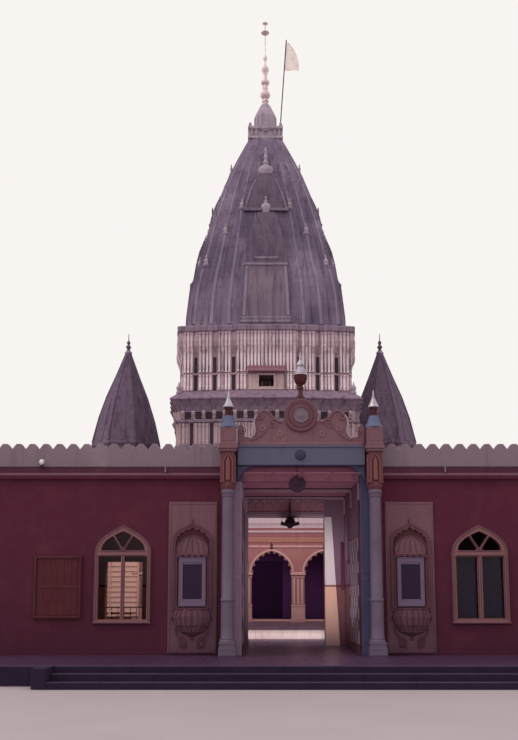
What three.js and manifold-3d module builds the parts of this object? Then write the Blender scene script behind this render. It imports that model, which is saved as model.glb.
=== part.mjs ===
// A north Indian temple: a red entrance range with a painted gateway on a stepped terrace, a courtyard,
// and the main shrine behind it with its arcade, its curved tower and two small side spires.
// Millimetres, +Z up. X = 0 is the gateway axis, Y = 0 the front face of the entrance range,
// +Y runs back through the courtyard to the shrine, and Z = 0 is the ground under the terrace.
import * as THREE from 'three';
import { mergeVertices } from 'three/addons/utils/BufferGeometryUtils.js';
import Module from 'manifold-3d';

const wasm = await Module();
wasm.setup();

// Terrace and steps
const RISER = 145;
const TREAD = 330;
const FLOOR = 3 * RISER;
const TERRACE_FRONT = -3300;
const STEP_HALF_WIDTH = 5520;
const CHEEK_WIDTH = 310;
const RANGE_HALF_WIDTH = 8600;

// Entrance range
const RANGE_DEPTH = 4500;
const WALL = 400;
const WALL_TOP = 4950;
const CORNICE_HEIGHT = 200;
const CORNICE_REACH = 100;
const ROOF_TOP = WALL_TOP + CORNICE_HEIGHT;
const PASSAGE_HALF_WIDTH = 1530;
const PASSAGE_CEILING = 4880;
const REAR_OPENING_LEFT = -1420;
const REAR_OPENING_RIGHT = 920;
const REAR_OPENING_TOP = 4340;
const SIDE_DOOR = { near: 2700, far: 3700, head: 2900 };
const REAR_WINDOW = { inner: 4650, outer: 5780, sill: 1200, head: 2970 };

// Notched parapets
const PARAPET_BASE = 120;
const PARAPET_TOP = 5884;
const PARAPET_THICKNESS = 200;
const MERLON_PITCH = 350;
const SHRINE_MERLON_PITCH = 520;
const NOTCH_DEPTH = 150;
const NOTCH_WIDTH = 115;

// Front windows, niche panels and boards
const WINDOW_X = 4600;
const WINDOW = { width: 1340, sill: 1290, springing: 3050, rise: 645, transom: [2945, 3090] };
const ARCHITRAVE = 60;
const PROUD = 50;
const FRAME_BAR = 40;
const FAN = { angles: [57, 123], hub: 75, spoke: 40, margin: 65 };
const NICHE_X = 2800;
const NICHE = { width: 1250, bottom: 480, top: 4350, depth: 45 };
const BOARD = { x: 6260, width: 1230, bottom: 1350, top: 2957, depth: 60 };

// Gateway
const COLUMN_X = 1885;
const COLUMN_Y = -350;
const CAPITAL = { bottom: 4620, top: 5660, width: 410, cornice: 490, corniceTop: 5830, blockTop: 6240 };
const LINTEL = { bottom: 5270, top: 5790, half: 1640, front: -350 };
const JAMB_OUTER = 1850;
const PEDIMENT_BACK = -100;
const PEDIMENT_FRONT = -300;
const RING = { z: 6580, radius: 440 };
const MEDALLION_RADIUS = 320;

// Shrine
const ARCADE_X = -640;
const SHRINE_HALF_WIDTH = 7960;
const SHRINE_LEFT = ARCADE_X - SHRINE_HALF_WIDTH;
const SHRINE_RIGHT = ARCADE_X + SHRINE_HALF_WIDTH;
const SHRINE_FRONT = 8500;
const SHRINE_BACK = 17700;
const PLINTH_TOP = 990;
const ARCH = { count: 5, pitch: 1886, width: 1426, springing: 2770, rise: 740, wall: 450 };
const SHRINE_WALL_TOP = 4020;
const SHRINE_ROOF_TOP = 4380;
const SHRINE_PARAPET_TOP = 4960;

// Tower, on a square plan with stepped faces
const TOWER_X = -810;
const TOWER_Y = 13300;
const BOUNDS = [0.815, 0.588, 0.363];
const STEPS = [0, 70, 140, 230];
const SANCTUM = { half: 3300, wall: 900, doorHalf: 600, doorHead: 3200 };
const STOREY = { half: 3400, top: 8925, wall: 900, floor: 300 };
const EAVE = { lip: 3680, lipZ: 9395, top: 9745, topHalf: 3280 };
const DRUM = { top: 12040, wall: 850, window: { half: 280, sill: EAVE.top, head: 10400 } };
const SPIRE_FOOT = 12420;
const SPIRE_TOP = 21600;
const SPIRE_PROFILE = [
  [3040, SPIRE_FOOT], [2885, 14000], [2465, 16000], [2120, 17500], [1690, 19000], [1340, 20000],
  [945, 21000], [690, SPIRE_TOP],
];
const COLLAR_TOP = 22180;
const NECK_TOP = 23600;
const LEDGES = [{ step: 0, z: 15000 }, { step: 1, z: 16450 }, { step: 2, z: 17650 }];
const LEDGE_DEPTH = 50;
const FLAG = { bottom: 25240, top: 26610, width: 720, poleRadius: 24 };
const GAP = 0.3;

const COLOURS = {
  stone: 0x6a5866, plaster: 0xb9a9a6, red: 0x7e3a3c, cream: 0xa98572, blue: 0x66779a, orange: 0xb0653c,
  wood: 0x6a2f2c, dark: 0x3a2a30, metal: 0xb9b4bb, gold: 0xc9a25a, cloth: 0xdccaca, glass: 0x232630,
  pink: 0xb97f77, lilac: 0x9d8b98,
};

const temple = new THREE.Group();

// Adds one named part with its material to the model.
function add(name, geometry, colour, roughness = 0.85, metalness = 0) {
  const material = new THREE.MeshStandardMaterial({ color: COLOURS[colour], roughness, metalness });
  const mesh = new THREE.Mesh(geometry, material);
  mesh.name = name;
  temple.add(mesh);
}

function toSolid(geometry) {
  const bare = geometry.clone();
  bare.deleteAttribute('normal');
  bare.deleteAttribute('uv');
  const merged = mergeVertices(bare, 1e-3);
  return new wasm.Manifold(new wasm.Mesh({
    numProp: 3,
    vertProperties: new Float32Array(merged.attributes.position.array),
    triVerts: new Uint32Array(merged.index.array),
  }));
}

function toGeometry(solid) {
  const mesh = solid.getMesh();
  const geometry = new THREE.BufferGeometry();
  geometry.setAttribute('position', new THREE.BufferAttribute(new Float32Array(mesh.vertProperties), 3));
  geometry.setIndex(new THREE.BufferAttribute(new Uint32Array(mesh.triVerts), 1));
  geometry.computeVertexNormals();
  return geometry;
}

function join(...pieces) {
  return toGeometry(pieces.map(toSolid).reduce((sum, piece) => sum.add(piece)));
}

function cut(body, ...tools) {
  return toGeometry(tools.map(toSolid).reduce((rest, tool) => rest.subtract(tool), toSolid(body)));
}

function box(x0, x1, y0, y1, z0, z1) {
  const geometry = new THREE.BoxGeometry(x1 - x0, y1 - y0, z1 - z0);
  return geometry.translate((x0 + x1) / 2, (y0 + y1) / 2, (z0 + z1) / 2);
}

// A box given for the right-hand side, mirrored to the left where side is -1.
function sideBox(side, x0, x1, y0, y1, z0, z1) {
  return side > 0 ? box(x0, x1, y0, y1, z0, z1) : box(-x1, -x0, y0, y1, z0, z1);
}

// An outline drawn in X and Z, extruded from y0 to y1.
function upright(shape, y0, y1, curveSegments = 8) {
  const geometry = new THREE.ExtrudeGeometry(shape, { depth: y1 - y0, bevelEnabled: false, curveSegments });
  return geometry.rotateX(Math.PI / 2).translate(0, y1, 0);
}

// A turned solid on a vertical axis, from radius and height pairs.
function turned(profile, segments = 16) {
  const points = profile.map(([r, z]) => new THREE.Vector2(r, z));
  return new THREE.LatheGeometry(points, segments).rotateX(Math.PI / 2);
}

// An octagonal or square solid whose flats face the front, from flat-to-axis distances and heights.
function faceted(profile, sides) {
  const toCorner = 1 / Math.cos(Math.PI / sides);
  const geometry = turned(profile.map(([r, z]) => [r * toCorner, z]), sides);
  return geometry.rotateZ(Math.PI / sides);
}

// A closed solid through rings of equal point count, each ring { z, points }.
function loft(rings) {
  const count = rings[0].points.length;
  const positions = rings.flatMap(({ z, points }) => points.flatMap(([x, y]) => [x, y, z]));
  const index = [];
  for (let level = 0; level + 1 < rings.length; level += 1) {
    for (let i = 0; i < count; i += 1) {
      const a = level * count + i;
      const b = level * count + (i + 1) % count;
      index.push(a, b, b + count, a, b + count, a + count);
    }
  }
  const last = (rings.length - 1) * count;
  for (const [ring, offset, flip] of [[rings[0], 0, true], [rings.at(-1), last, false]]) {
    const contour = ring.points.map(([x, y]) => new THREE.Vector2(x, y));
    for (const [a, b, c] of THREE.ShapeUtils.triangulateShape(contour, [])) {
      index.push(...(flip ? [offset + a, offset + c, offset + b] : [offset + a, offset + b, offset + c]));
    }
  }
  const geometry = new THREE.BufferGeometry();
  geometry.setAttribute('position', new THREE.Float32BufferAttribute(positions, 3));
  geometry.setAttribute('normal', new THREE.Float32BufferAttribute(positions.map(() => 0), 3));
  geometry.setAttribute('uv', new THREE.Float32BufferAttribute(new Array(positions.length / 3 * 2).fill(0), 2));
  geometry.setIndex(index);
  return geometry;
}

// One ring of the tower's stepped square plan: corners, then three steps out to the middle of each face.
function towerRing(half, z, steps = STEPS) {
  const corner = half + steps[0];
  const [b1, b2, b3] = BOUNDS.map((share) => share * half);
  const side = [
    [-corner, corner], [-b1, corner], [-b1, half + steps[1]], [-b2, half + steps[1]],
    [-b2, half + steps[2]], [-b3, half + steps[2]], [-b3, half + steps[3]], [b3, half + steps[3]],
    [b3, half + steps[2]], [b2, half + steps[2]], [b2, half + steps[1]], [b1, half + steps[1]],
    [b1, corner],
  ];
  const turns = [([t, d]) => [t, -d], ([t, d]) => [d, t], ([t, d]) => [-t, d], ([t, d]) => [-d, -t]];
  const points = turns.flatMap((turn) => side.map(turn)).map(([x, y]) => [TOWER_X + x, TOWER_Y + y]);
  return { z, points };
}

function buildTerrace() {
  const stepsFront = TERRACE_FRONT - 2 * TREAD;
  const slab = box(-RANGE_HALF_WIDTH, RANGE_HALF_WIDTH, TERRACE_FRONT, SHRINE_BACK + CORNICE_REACH, 0, FLOOR);
  add('terrace', slab, 'stone');
  for (const [name, side] of [['left', -1], ['right', 1]]) {
    const outer = STEP_HALF_WIDTH + CHEEK_WIDTH;
    add(`step_cheek_${name}`, sideBox(side, STEP_HALF_WIDTH, outer, stepsFront, TERRACE_FRONT, 0, FLOOR), 'stone');
  }
  const middle = box(-STEP_HALF_WIDTH, STEP_HALF_WIDTH, TERRACE_FRONT - TREAD, TERRACE_FRONT, 0, 2 * RISER);
  add('middle_step', middle, 'stone');
  const lower = box(-STEP_HALF_WIDTH, STEP_HALF_WIDTH, stepsFront, TERRACE_FRONT - TREAD, 0, RISER);
  add('lower_step', lower, 'stone');
}

// A slightly pointed arch opening, its foot at the sill.
function archedShape(x, width, sill, springing, rise) {
  const half = width / 2;
  const shape = new THREE.Shape();
  shape.moveTo(x - half, sill);
  shape.lineTo(x + half, sill);
  shape.lineTo(x + half, springing);
  shape.bezierCurveTo(
    x + half, springing + 0.457 * rise, x + 0.493 * half, springing + 0.762 * rise, x, springing + rise,
  );
  shape.bezierCurveTo(
    x - 0.493 * half, springing + 0.762 * rise, x - half, springing + 0.457 * rise, x - half, springing,
  );
  shape.closePath();
  return shape;
}

function buildRangeWalls() {
  for (const [name, side] of [['left', -1], ['right', 1]]) {
    const { width, sill, springing, rise } = WINDOW;
    const front = sideBox(side, PASSAGE_HALF_WIDTH, RANGE_HALF_WIDTH, 0, WALL, FLOOR, WALL_TOP);
    const opening = archedShape(side * WINDOW_X, width, sill, springing, rise);
    add(`front_wall_${name}`, cut(front, upright(opening, -WALL, 2 * WALL)), 'red');
    const end = sideBox(
      side, RANGE_HALF_WIDTH - WALL, RANGE_HALF_WIDTH, WALL, RANGE_DEPTH - WALL, FLOOR, WALL_TOP,
    );
    add(`end_wall_${name}`, end, 'red');
    const inner = sideBox(
      side, PASSAGE_HALF_WIDTH, PASSAGE_HALF_WIDTH + WALL, WALL, RANGE_DEPTH - WALL, FLOOR, WALL_TOP,
    );
    const door = sideBox(
      side, PASSAGE_HALF_WIDTH - WALL, PASSAGE_HALF_WIDTH + 2 * WALL,
      SIDE_DOOR.near, SIDE_DOOR.far, 0, SIDE_DOOR.head,
    );
    add(`passage_wall_${name}`, cut(inner, door), 'pink');
  }
  const rear = box(
    -RANGE_HALF_WIDTH, RANGE_HALF_WIDTH, RANGE_DEPTH - WALL, RANGE_DEPTH, FLOOR, WALL_TOP,
  );
  const y0 = RANGE_DEPTH - 2 * WALL;
  const y1 = RANGE_DEPTH + WALL;
  const gateway = box(REAR_OPENING_LEFT, REAR_OPENING_RIGHT, y0, y1, 0, REAR_OPENING_TOP);
  const windows = [-1, 1].map((side) => sideBox(
    side, REAR_WINDOW.inner, REAR_WINDOW.outer, y0, y1, REAR_WINDOW.sill, REAR_WINDOW.head,
  ));
  add('rear_wall', cut(rear, gateway, ...windows), 'pink');
}

function buildRangeRoof() {
  const edge = RANGE_HALF_WIDTH + CORNICE_REACH;
  const back = RANGE_DEPTH + CORNICE_REACH;
  const pieces = [box(-edge, edge, 0, back, WALL_TOP, ROOF_TOP)];
  for (const side of [-1, 1]) {
    pieces.push(sideBox(side, JAMB_OUTER + 20, edge, -CORNICE_REACH, 1, WALL_TOP, ROOF_TOP));
  }
  const beamReach = PASSAGE_HALF_WIDTH - 1;
  const beams = [0, 1850, RANGE_DEPTH - WALL - 300];
  for (const y of beams) {
    pieces.push(box(-beamReach, beamReach, y, y + 299, PASSAGE_CEILING, WALL_TOP + 1));
  }
  pieces.push(box(-JAMB_OUTER, JAMB_OUTER, 0, 300, ROOF_TOP - 1, LINTEL.top));
  add('front_roof', join(...pieces), 'plaster');
}

// A straight run of notched parapet along X, drawn from x0 to x1 with its base at z0.
function notchedRun(x0, x1, z0, top, targetPitch) {
  const shape = new THREE.Shape();
  shape.moveTo(x0, z0);
  shape.lineTo(x1, z0);
  shape.lineTo(x1, top);
  const count = Math.round((x1 - x0) / targetPitch);
  const pitch = (x1 - x0) / count;
  for (let i = count - 1; i > 0; i -= 1) {
    const x = x0 + i * pitch;
    shape.lineTo(x + NOTCH_WIDTH, top);
    shape.lineTo(x, top - NOTCH_DEPTH);
    shape.lineTo(x - NOTCH_WIDTH, top);
  }
  shape.lineTo(x0, top);
  shape.closePath();
  return shape;
}

// A parapet run between two plan points along an axis, with its set-back foot.
function parapetRun(along, from, to, face, z0, top, pitch) {
  const foot = PARAPET_BASE;
  const inset = 40;
  const thick = face.sign * PARAPET_THICKNESS;
  const [a, b] = [face.at, face.at + thick].sort((p, q) => p - q);
  const band = upright(notchedRun(from, to, z0 + foot, top, pitch), a, b);
  const base = box(from + inset, to - inset, a + inset, b - inset, z0, z0 + foot + 1);
  const run = join(band, base);
  return along === 'x' ? run : run.rotateZ(Math.PI / 2);
}

function buildRangeParapets() {
  const outer = RANGE_HALF_WIDTH + 40;
  const back = RANGE_DEPTH + 40;
  for (const [name, side] of [['left', -1], ['right', 1]]) {
    const inner = JAMB_OUTER + 10;
    const [x0, x1] = side > 0 ? [inner, outer] : [-outer, -inner];
    const front = parapetRun('x', x0, x1, { at: -40, sign: 1 }, ROOF_TOP, PARAPET_TOP, MERLON_PITCH);
    const rear = parapetRun('x', x0, x1, { at: back, sign: -1 }, ROOF_TOP, PARAPET_TOP, MERLON_PITCH);
    const end = parapetRun('y', -40, back, { at: -side * outer, sign: side }, ROOF_TOP, PARAPET_TOP, MERLON_PITCH);
    add(`parapet_${name}`, join(front, rear, end), 'lilac');
  }
}

// The three openings of the fanlight: an arch above the transom, less a hub and two spokes.
function fanlight(x) {
  const { width, springing, rise, transom } = WINDOW;
  const edge = FRAME_BAR + FAN.margin;
  const foot = transom[1] + 10;
  const arch = archedShape(x, width - 2 * edge, transom[1], foot, springing + rise - edge - foot);
  const spokes = FAN.angles.map((degrees) => {
    const bar = box(0, width, -WALL, WALL, -FAN.spoke / 2, FAN.spoke / 2);
    return bar.rotateY(-THREE.MathUtils.degToRad(degrees)).translate(x, 0, transom[1]);
  });
  const hub = new THREE.Shape();
  hub.absarc(x, transom[1], FAN.hub, 0, Math.PI, false);
  return cut(upright(arch, -WALL, WALL), upright(hub, -WALL, WALL), ...spokes);
}

// An arched frame filling the wall opening, with two tall lights and a fanlight cut through it.
function windowFrame(x) {
  const { width, sill, springing, rise, transom } = WINDOW;
  const shape = archedShape(x, width - 2 * GAP, sill + GAP, springing, rise - GAP);
  const half = width / 2 - FRAME_BAR;
  const lights = [-1, 1].map((side) => {
    const [a, b] = [x + side * FRAME_BAR, x + side * half].sort((p, q) => p - q);
    return box(a, b, -WALL, WALL, sill + FRAME_BAR, transom[0]);
  });
  return cut(upright(shape, -PROUD, 120), ...lights, fanlight(x));
}

function buildWindows() {
  for (const [name, side] of [['left', -1], ['right', 1]]) {
    const x = side * WINDOW_X;
    const { width, sill, springing, rise } = WINDOW;
    const ring = archedShape(x, width + 2 * ARCHITRAVE, sill - 60, springing, rise + ARCHITRAVE);
    ring.holes.push(new THREE.Path(archedShape(x, width - 10, sill + 5, springing, rise - 5).getPoints(8)));
    add(`window_${name}`, join(upright(ring, -PROUD, -GAP), windowFrame(x)), 'cream', 0.6);
  }
  const { width, sill, transom } = WINDOW;
  const half = width / 2 - 20;
  const glass = box(WINDOW_X - half, WINDOW_X + half, 120 + GAP, 128, sill + 20, transom[1]);
  add('window_glass_right', glass, 'glass', 0.1);
}

function rectangle(x, width, z0, z1) {
  const shape = new THREE.Shape();
  shape.moveTo(x - width / 2, z0);
  shape.lineTo(x + width / 2, z0);
  shape.lineTo(x + width / 2, z1);
  shape.lineTo(x - width / 2, z1);
  shape.closePath();
  return shape;
}

function buildNichesAndBoards() {
  for (const [name, side] of [['left', -1], ['right', 1]]) {
    const x = side * NICHE_X;
    const { width, bottom, top, depth } = NICHE;
    const plate = upright(rectangle(x, width, bottom, top), -depth, 0);
    const arch = archedShape(x, 1000, 1540, 3400, 390);
    arch.holes.push(new THREE.Path(archedShape(x, 860, 1620, 3360, 330).getPoints(8)));
    const hood = new THREE.Shape();
    hood.moveTo(x - 410, 2960);
    hood.lineTo(x + 410, 2960);
    hood.bezierCurveTo(x + 440, 3240, x + 240, 3430, x, 3460);
    hood.bezierCurveTo(x - 240, 3430, x - 440, 3240, x - 410, 2960);
    const bowl = faceted([[0, 940], [120, 950], [290, 1020], [420, 1200], [470, 1400], [400, 1600], [0, 1600]], 8);
    bowl.scale(1, 0.42, 1).translate(x, -depth, 0);
    const bowlFront = cut(bowl, box(x - 900, x + 900, -depth + 5, 900, 0, 3000));
    const relief = [upright(arch, -depth - 35, -depth + 1), upright(hood, -depth - 60, -depth + 1), bowlFront];
    add(`niche_panel_${name}`, join(plate, ...relief), 'cream');
    const frame = rectangle(x, 700, 1660, 2920);
    frame.holes.push(new THREE.Path(rectangle(x, 490, 1790, 2790).getPoints()));
    const picture = upright(rectangle(x, 500, 1780, 2800), -depth - 20, -depth - GAP);
    add(`niche_frame_${name}`, join(upright(frame, -depth - 50, -depth - GAP), picture), 'lilac');
    const board = upright(
      rectangle(side * BOARD.x, BOARD.width, BOARD.bottom, BOARD.top), -BOARD.depth, 0,
    );
    const panel = upright(
      rectangle(side * BOARD.x, BOARD.width - 160, BOARD.bottom + 80, BOARD.top - 80), -BOARD.depth - 1, -35,
    );
    add(`notice_board_${name}`, cut(board, panel), 'wood', 0.7);
  }
}

function buildColumns() {
  for (const [name, side] of [['left', -1], ['right', 1]]) {
    const x = side * COLUMN_X;
    const shaft = turned([
      [0, 780], [185, 780], [185, 840], [165, 880], [165, 1800], [180, 1815], [180, 1850], [150, 1870],
      [145, 4500], [175, 4540], [175, CAPITAL.bottom], [0, CAPITAL.bottom],
    ], 16).translate(x, COLUMN_Y, 0);
    const foot = box(x - 220, x + 220, COLUMN_Y - 220, COLUMN_Y + 220, FLOOR, 781);
    add(`gate_column_${name}`, join(shaft, foot), 'lilac', 0.6);
    const half = CAPITAL.width / 2;
    const { bottom, top, cornice, corniceTop, blockTop } = CAPITAL;
    const square = (r, z0, z1) => box(x - r, x + r, COLUMN_Y - r, COLUMN_Y + r, z0, z1);
    const capital = faceted([
      [0, bottom], [170, bottom], [half, bottom + 160], [half - 25, bottom + 220], [half - 15, top], [0, top],
    ], 4).translate(x, COLUMN_Y, 0);
    const blocks = [square(cornice / 2, top - 1, corniceTop), square(half, corniceTop - 1, blockTop)];
    add(`gate_capital_${name}`, join(capital, ...blocks), 'orange');
    const kiosk = turned([
      [0, blockTop], [225, blockTop], [205, 6320], [130, 6440], [85, 6560], [65, 6675], [110, 6700],
      [110, 6790], [140, 6800], [125, 6860], [60, 6990], [28, 7120], [20, 7250], [0, 7250],
    ], 16).translate(x, COLUMN_Y, 0);
    add(`gate_kiosk_${name}`, kiosk, 'blue', 0.5, 0.2);
  }
}

function buildGateFrame() {
  const { bottom, top, half, front } = LINTEL;
  const pieces = [box(-half, half, front, 0, bottom, top)];
  for (const side of [-1, 1]) {
    pieces.push(sideBox(side, PASSAGE_HALF_WIDTH, JAMB_OUTER, -120, 0, FLOOR, bottom + 1));
    const bracket = new THREE.Shape();
    bracket.moveTo(side * half, bottom + 1);
    bracket.lineTo(side * half, bottom - 390);
    bracket.quadraticCurveTo(side * (half - 150), bottom - 60, side * (half - 420), bottom + 1);
    bracket.closePath();
    pieces.push(upright(bracket, -260, -119));
  }
  add('gate_frame', join(...pieces), 'blue', 0.6);
}

// Half of the pediment's scrolled outline, from the ring on the axis down to the lintel's end.
function pedimentShape() {
  const { top } = LINTEL;
  const foot = RING.radius * Math.sin(Math.acos((RING.z - 6430) / RING.radius));
  const right = new THREE.Path();
  right.moveTo(foot, 6430);
  right.quadraticCurveTo(640, 6430, 760, 6610);
  right.quadraticCurveTo(930, 6830, 1130, 6660);
  right.quadraticCurveTo(1270, 6500, 1220, 6300);
  right.quadraticCurveTo(1200, 6100, 1330, 6010);
  right.lineTo(1470, 6010);
  right.quadraticCurveTo(1440, 6290, 1540, 6380);
  right.quadraticCurveTo(LINTEL.half, 6330, LINTEL.half, 6200);
  const points = right.getPoints(6);
  const shape = new THREE.Shape();
  shape.moveTo(-LINTEL.half, top);
  shape.lineTo(LINTEL.half, top);
  for (const p of [...points].reverse()) {
    shape.lineTo(p.x, p.y);
  }
  for (const p of points) {
    shape.lineTo(-p.x, p.y);
  }
  shape.closePath();
  return shape;
}

function buildPediment() {
  const disc = turned([[0, 0], [RING.radius, 0], [RING.radius, 230], [0, 230]], 32);
  disc.rotateX(Math.PI / 2).translate(0, PEDIMENT_BACK, RING.z);
  const plate = upright(pedimentShape(), PEDIMENT_FRONT, PEDIMENT_BACK);
  const boss = box(-90, 90, PEDIMENT_FRONT + 20, PEDIMENT_BACK - 20, RING.z, RING.z + RING.radius + 40);
  add('pediment', join(plate, disc, boss), 'orange');
  const front = PEDIMENT_BACK - 230;
  const medallion = turned([
    [0, 0], [MEDALLION_RADIUS, 0], [MEDALLION_RADIUS, 30], [300, 45], [215, 45], [205, 25], [195, 35], [0, 45],
  ], 32);
  medallion.rotateX(Math.PI / 2).translate(0, front - GAP, RING.z);
  add('medallion', medallion, 'dark');
  const z = RING.z + RING.radius + 40 + GAP;
  const finial = turned([
    [0, z], [110, z], [110, z + 50], [75, z + 70], [75, 7480], [150, 7520], [175, 7610], [175, 7670], [185, 7690],
    [165, 7760], [110, 7840], [95, 7900], [120, 7960], [60, 8060], [30, 8180], [20, 8315], [0, 8315],
  ], 16).translate(0, (PEDIMENT_FRONT + PEDIMENT_BACK) / 2, 0);
  add('pediment_finial', finial, 'plaster');
}

function buildHangings() {
  const gong = turned([[0, -22], [170, -22], [222, -8], [222, 8], [170, 22], [0, 22]], 24);
  gong.rotateX(Math.PI / 2).translate(-100, -170, 4800);
  const hanger = box(-112, -88, -182, -158, 5000, LINTEL.bottom - GAP);
  add('gong', join(gong, hanger), 'dark', 0.5, 0.6);
  const lamp = turned([
    [0, 3970], [60, 3985], [120, 4040], [300, 4090], [300, 4130], [150, 4180], [90, 4300], [25, 4320],
    [18, 4400], [18, WALL_TOP - 70 - GAP], [0, WALL_TOP - 70 - GAP],
  ], 12).translate(-140, RANGE_DEPTH - WALL - 150, 0);
  add('hanging_lamp', lamp, 'dark', 0.5, 0.6);
}

function buildShrineBody() {
  const reach = CORNICE_REACH;
  const [left, right] = [SHRINE_LEFT, SHRINE_RIGHT];
  add('shrine_plinth', box(
    left, right, SHRINE_FRONT - 4 * reach, SHRINE_BACK, FLOOR, PLINTH_TOP,
  ), 'stone');
  const face = new THREE.Shape();
  face.moveTo(left, PLINTH_TOP);
  const first = ARCADE_X - (ARCH.count - 1) / 2 * ARCH.pitch;
  const half = ARCH.width / 2;
  for (let i = 0; i < ARCH.count; i += 1) {
    const x = first + i * ARCH.pitch;
    const crown = ARCH.springing + ARCH.rise;
    face.lineTo(x - half, PLINTH_TOP);
    face.lineTo(x - half, ARCH.springing);
    face.bezierCurveTo(x - half, ARCH.springing + 0.6 * ARCH.rise, x - 0.4 * half, crown - 40, x, crown);
    face.bezierCurveTo(x + 0.4 * half, crown - 40, x + half, ARCH.springing + 0.6 * ARCH.rise, x + half, ARCH.springing);
    face.lineTo(x + half, PLINTH_TOP);
  }
  face.lineTo(right, PLINTH_TOP);
  face.lineTo(right, SHRINE_WALL_TOP);
  face.lineTo(left, SHRINE_WALL_TOP);
  face.closePath();
  add('arcade', upright(face, SHRINE_FRONT, SHRINE_FRONT + ARCH.wall), 'pink');
  const behind = SHRINE_FRONT + ARCH.wall;
  const shell = box(left, right, behind, SHRINE_BACK, PLINTH_TOP, SHRINE_WALL_TOP);
  const hall = box(left + WALL, right - WALL, behind - 1, SHRINE_BACK - WALL, 0, SHRINE_ROOF_TOP);
  add('shrine_walls', cut(shell, hall), 'pink');
  const roof = box(
    left - reach, right + reach, SHRINE_FRONT - reach, SHRINE_BACK + reach, SHRINE_WALL_TOP, SHRINE_ROOF_TOP,
  );
  const well = SANCTUM.half + GAP;
  const hole = box(TOWER_X - well, TOWER_X + well, TOWER_Y - well, TOWER_Y + well, 0, SHRINE_ROOF_TOP + 10);
  add('shrine_roof', cut(roof, hole), 'red');
  const [x0, x1, y0, y1] = [left - 40, right + 40, SHRINE_FRONT - 40, SHRINE_BACK + 40];
  const sides = [
    ['x', x0, x1, { at: y0, sign: 1 }], ['x', x0, x1, { at: y1, sign: -1 }],
    ['y', y0, y1, { at: -x0, sign: -1 }], ['y', y0, y1, { at: -x1, sign: 1 }],
  ];
  const runs = sides.map((run) => parapetRun(...run, SHRINE_ROOF_TOP, SHRINE_PARAPET_TOP, SHRINE_MERLON_PITCH));
  add('shrine_parapet', join(...runs), 'lilac');
}

function towerWell(half, z0, z1) {
  return box(TOWER_X - half, TOWER_X + half, TOWER_Y - half, TOWER_Y + half, z0, z1);
}

function buildTowerBase() {
  const { half, wall, doorHalf, doorHead } = SANCTUM;
  const shell = towerWell(half, PLINTH_TOP, SHRINE_ROOF_TOP);
  const chamber = towerWell(half - wall, 0, SHRINE_ROOF_TOP + 10);
  const door = box(TOWER_X - doorHalf, TOWER_X + doorHalf, TOWER_Y - 2 * half, TOWER_Y, 0, doorHead);
  add('sanctum_walls', cut(shell, chamber, door), 'plaster');
  const storey = loft([towerRing(STOREY.half, SHRINE_ROOF_TOP), towerRing(STOREY.half, STOREY.top)]);
  const upper = towerWell(STOREY.half - STOREY.wall, SHRINE_ROOF_TOP + STOREY.floor, STOREY.top + 10);
  add('tower_lower_storey', cut(storey, upper), 'plaster');
  add('tower_eave', loft([
    towerRing(STOREY.half, STOREY.top), towerRing(STOREY.half + 60, STOREY.top + 150),
    towerRing(EAVE.lip - 60, EAVE.lipZ - 90), towerRing(EAVE.lip, EAVE.lipZ - 60),
    towerRing(EAVE.lip, EAVE.lipZ), towerRing(EAVE.topHalf + 60, EAVE.top - 60),
    towerRing(EAVE.topHalf, EAVE.top),
  ]), 'stone');
  const drum = loft([
    towerRing(3240, EAVE.top), towerRing(3240, 10360), towerRing(3290, 10380), towerRing(3290, 10440),
    towerRing(3240, 10460), towerRing(3260, 11180), towerRing(3400, 11480), towerRing(3420, 11680),
    towerRing(3380, 11940), towerRing(3380, DRUM.top),
  ]);
  const chamberHalf = 3240 - DRUM.wall;
  const { window } = DRUM;
  const drumVoid = towerWell(chamberHalf, EAVE.top - 10, DRUM.top - 300);
  const opening = box(
    TOWER_X - window.half, TOWER_X + window.half, TOWER_Y - 4000, TOWER_Y, window.sill - 10, window.head,
  );
  add('tower_drum', cut(drum, drumVoid, opening), 'plaster');
  add('spire_cornice', loft([
    towerRing(3400, DRUM.top), towerRing(3440, DRUM.top + 50), towerRing(3440, SPIRE_FOOT - 150),
    towerRing(3400, SPIRE_FOOT - 120), towerRing(3080, SPIRE_FOOT),
  ]), 'stone');
}

const spireCurve = new THREE.SplineCurve(SPIRE_PROFILE.map(([half, z]) => new THREE.Vector2(half, z)));
const spireSamples = spireCurve.getPoints(60);

// Half the width of the spire's plain body at height z.
function spireHalf(z) {
  const next = spireSamples.findIndex((p) => p.y >= z);
  const b = spireSamples[Math.max(next, 1)];
  const a = spireSamples[Math.max(next, 1) - 1];
  return a.x + (b.x - a.x) * (z - a.y) / (b.y - a.y);
}

// The steps out from corner to face centre at height z: each lower ratha band ends at its own ledge.
function spireSteps(z, grow = 0) {
  const scale = 0.3 + 0.55 * spireHalf(z) / spireHalf(SPIRE_FOOT);
  return STEPS.map((step, i) => {
    const ledge = LEDGES[i];
    const extra = ledge && z <= ledge.z ? LEDGE_DEPTH : 0;
    return step * scale + extra + grow;
  });
}

function spireLoft(grow = 0) {
  const levels = [];
  for (let z = SPIRE_FOOT; z < SPIRE_TOP; z += 880) {
    levels.push(z);
  }
  for (const { z } of LEDGES) {
    levels.push(z, z + 60);
  }
  levels.push(SPIRE_TOP);
  const heights = [...new Set(levels)].sort((a, b) => a - b);
  const spaced = heights.filter((z, i) => i === 0 || LEDGES.some((l) => l.z === z || l.z + 60 === z)
    || Math.min(...LEDGES.map((l) => Math.abs(l.z + 30 - z))) > 150);
  return loft(spaced.map((z) => towerRing(spireHalf(z) + grow, z, spireSteps(z))));
}

// A block against the front face: half-width w and outer distance o from the tower's axis, by height.
function faceBlock(levels) {
  return loft(levels.map(([z, w, o]) => ({ z, points: [[-w, -o], [w, -o], [w, -700], [-w, -700]] })));
}

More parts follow.
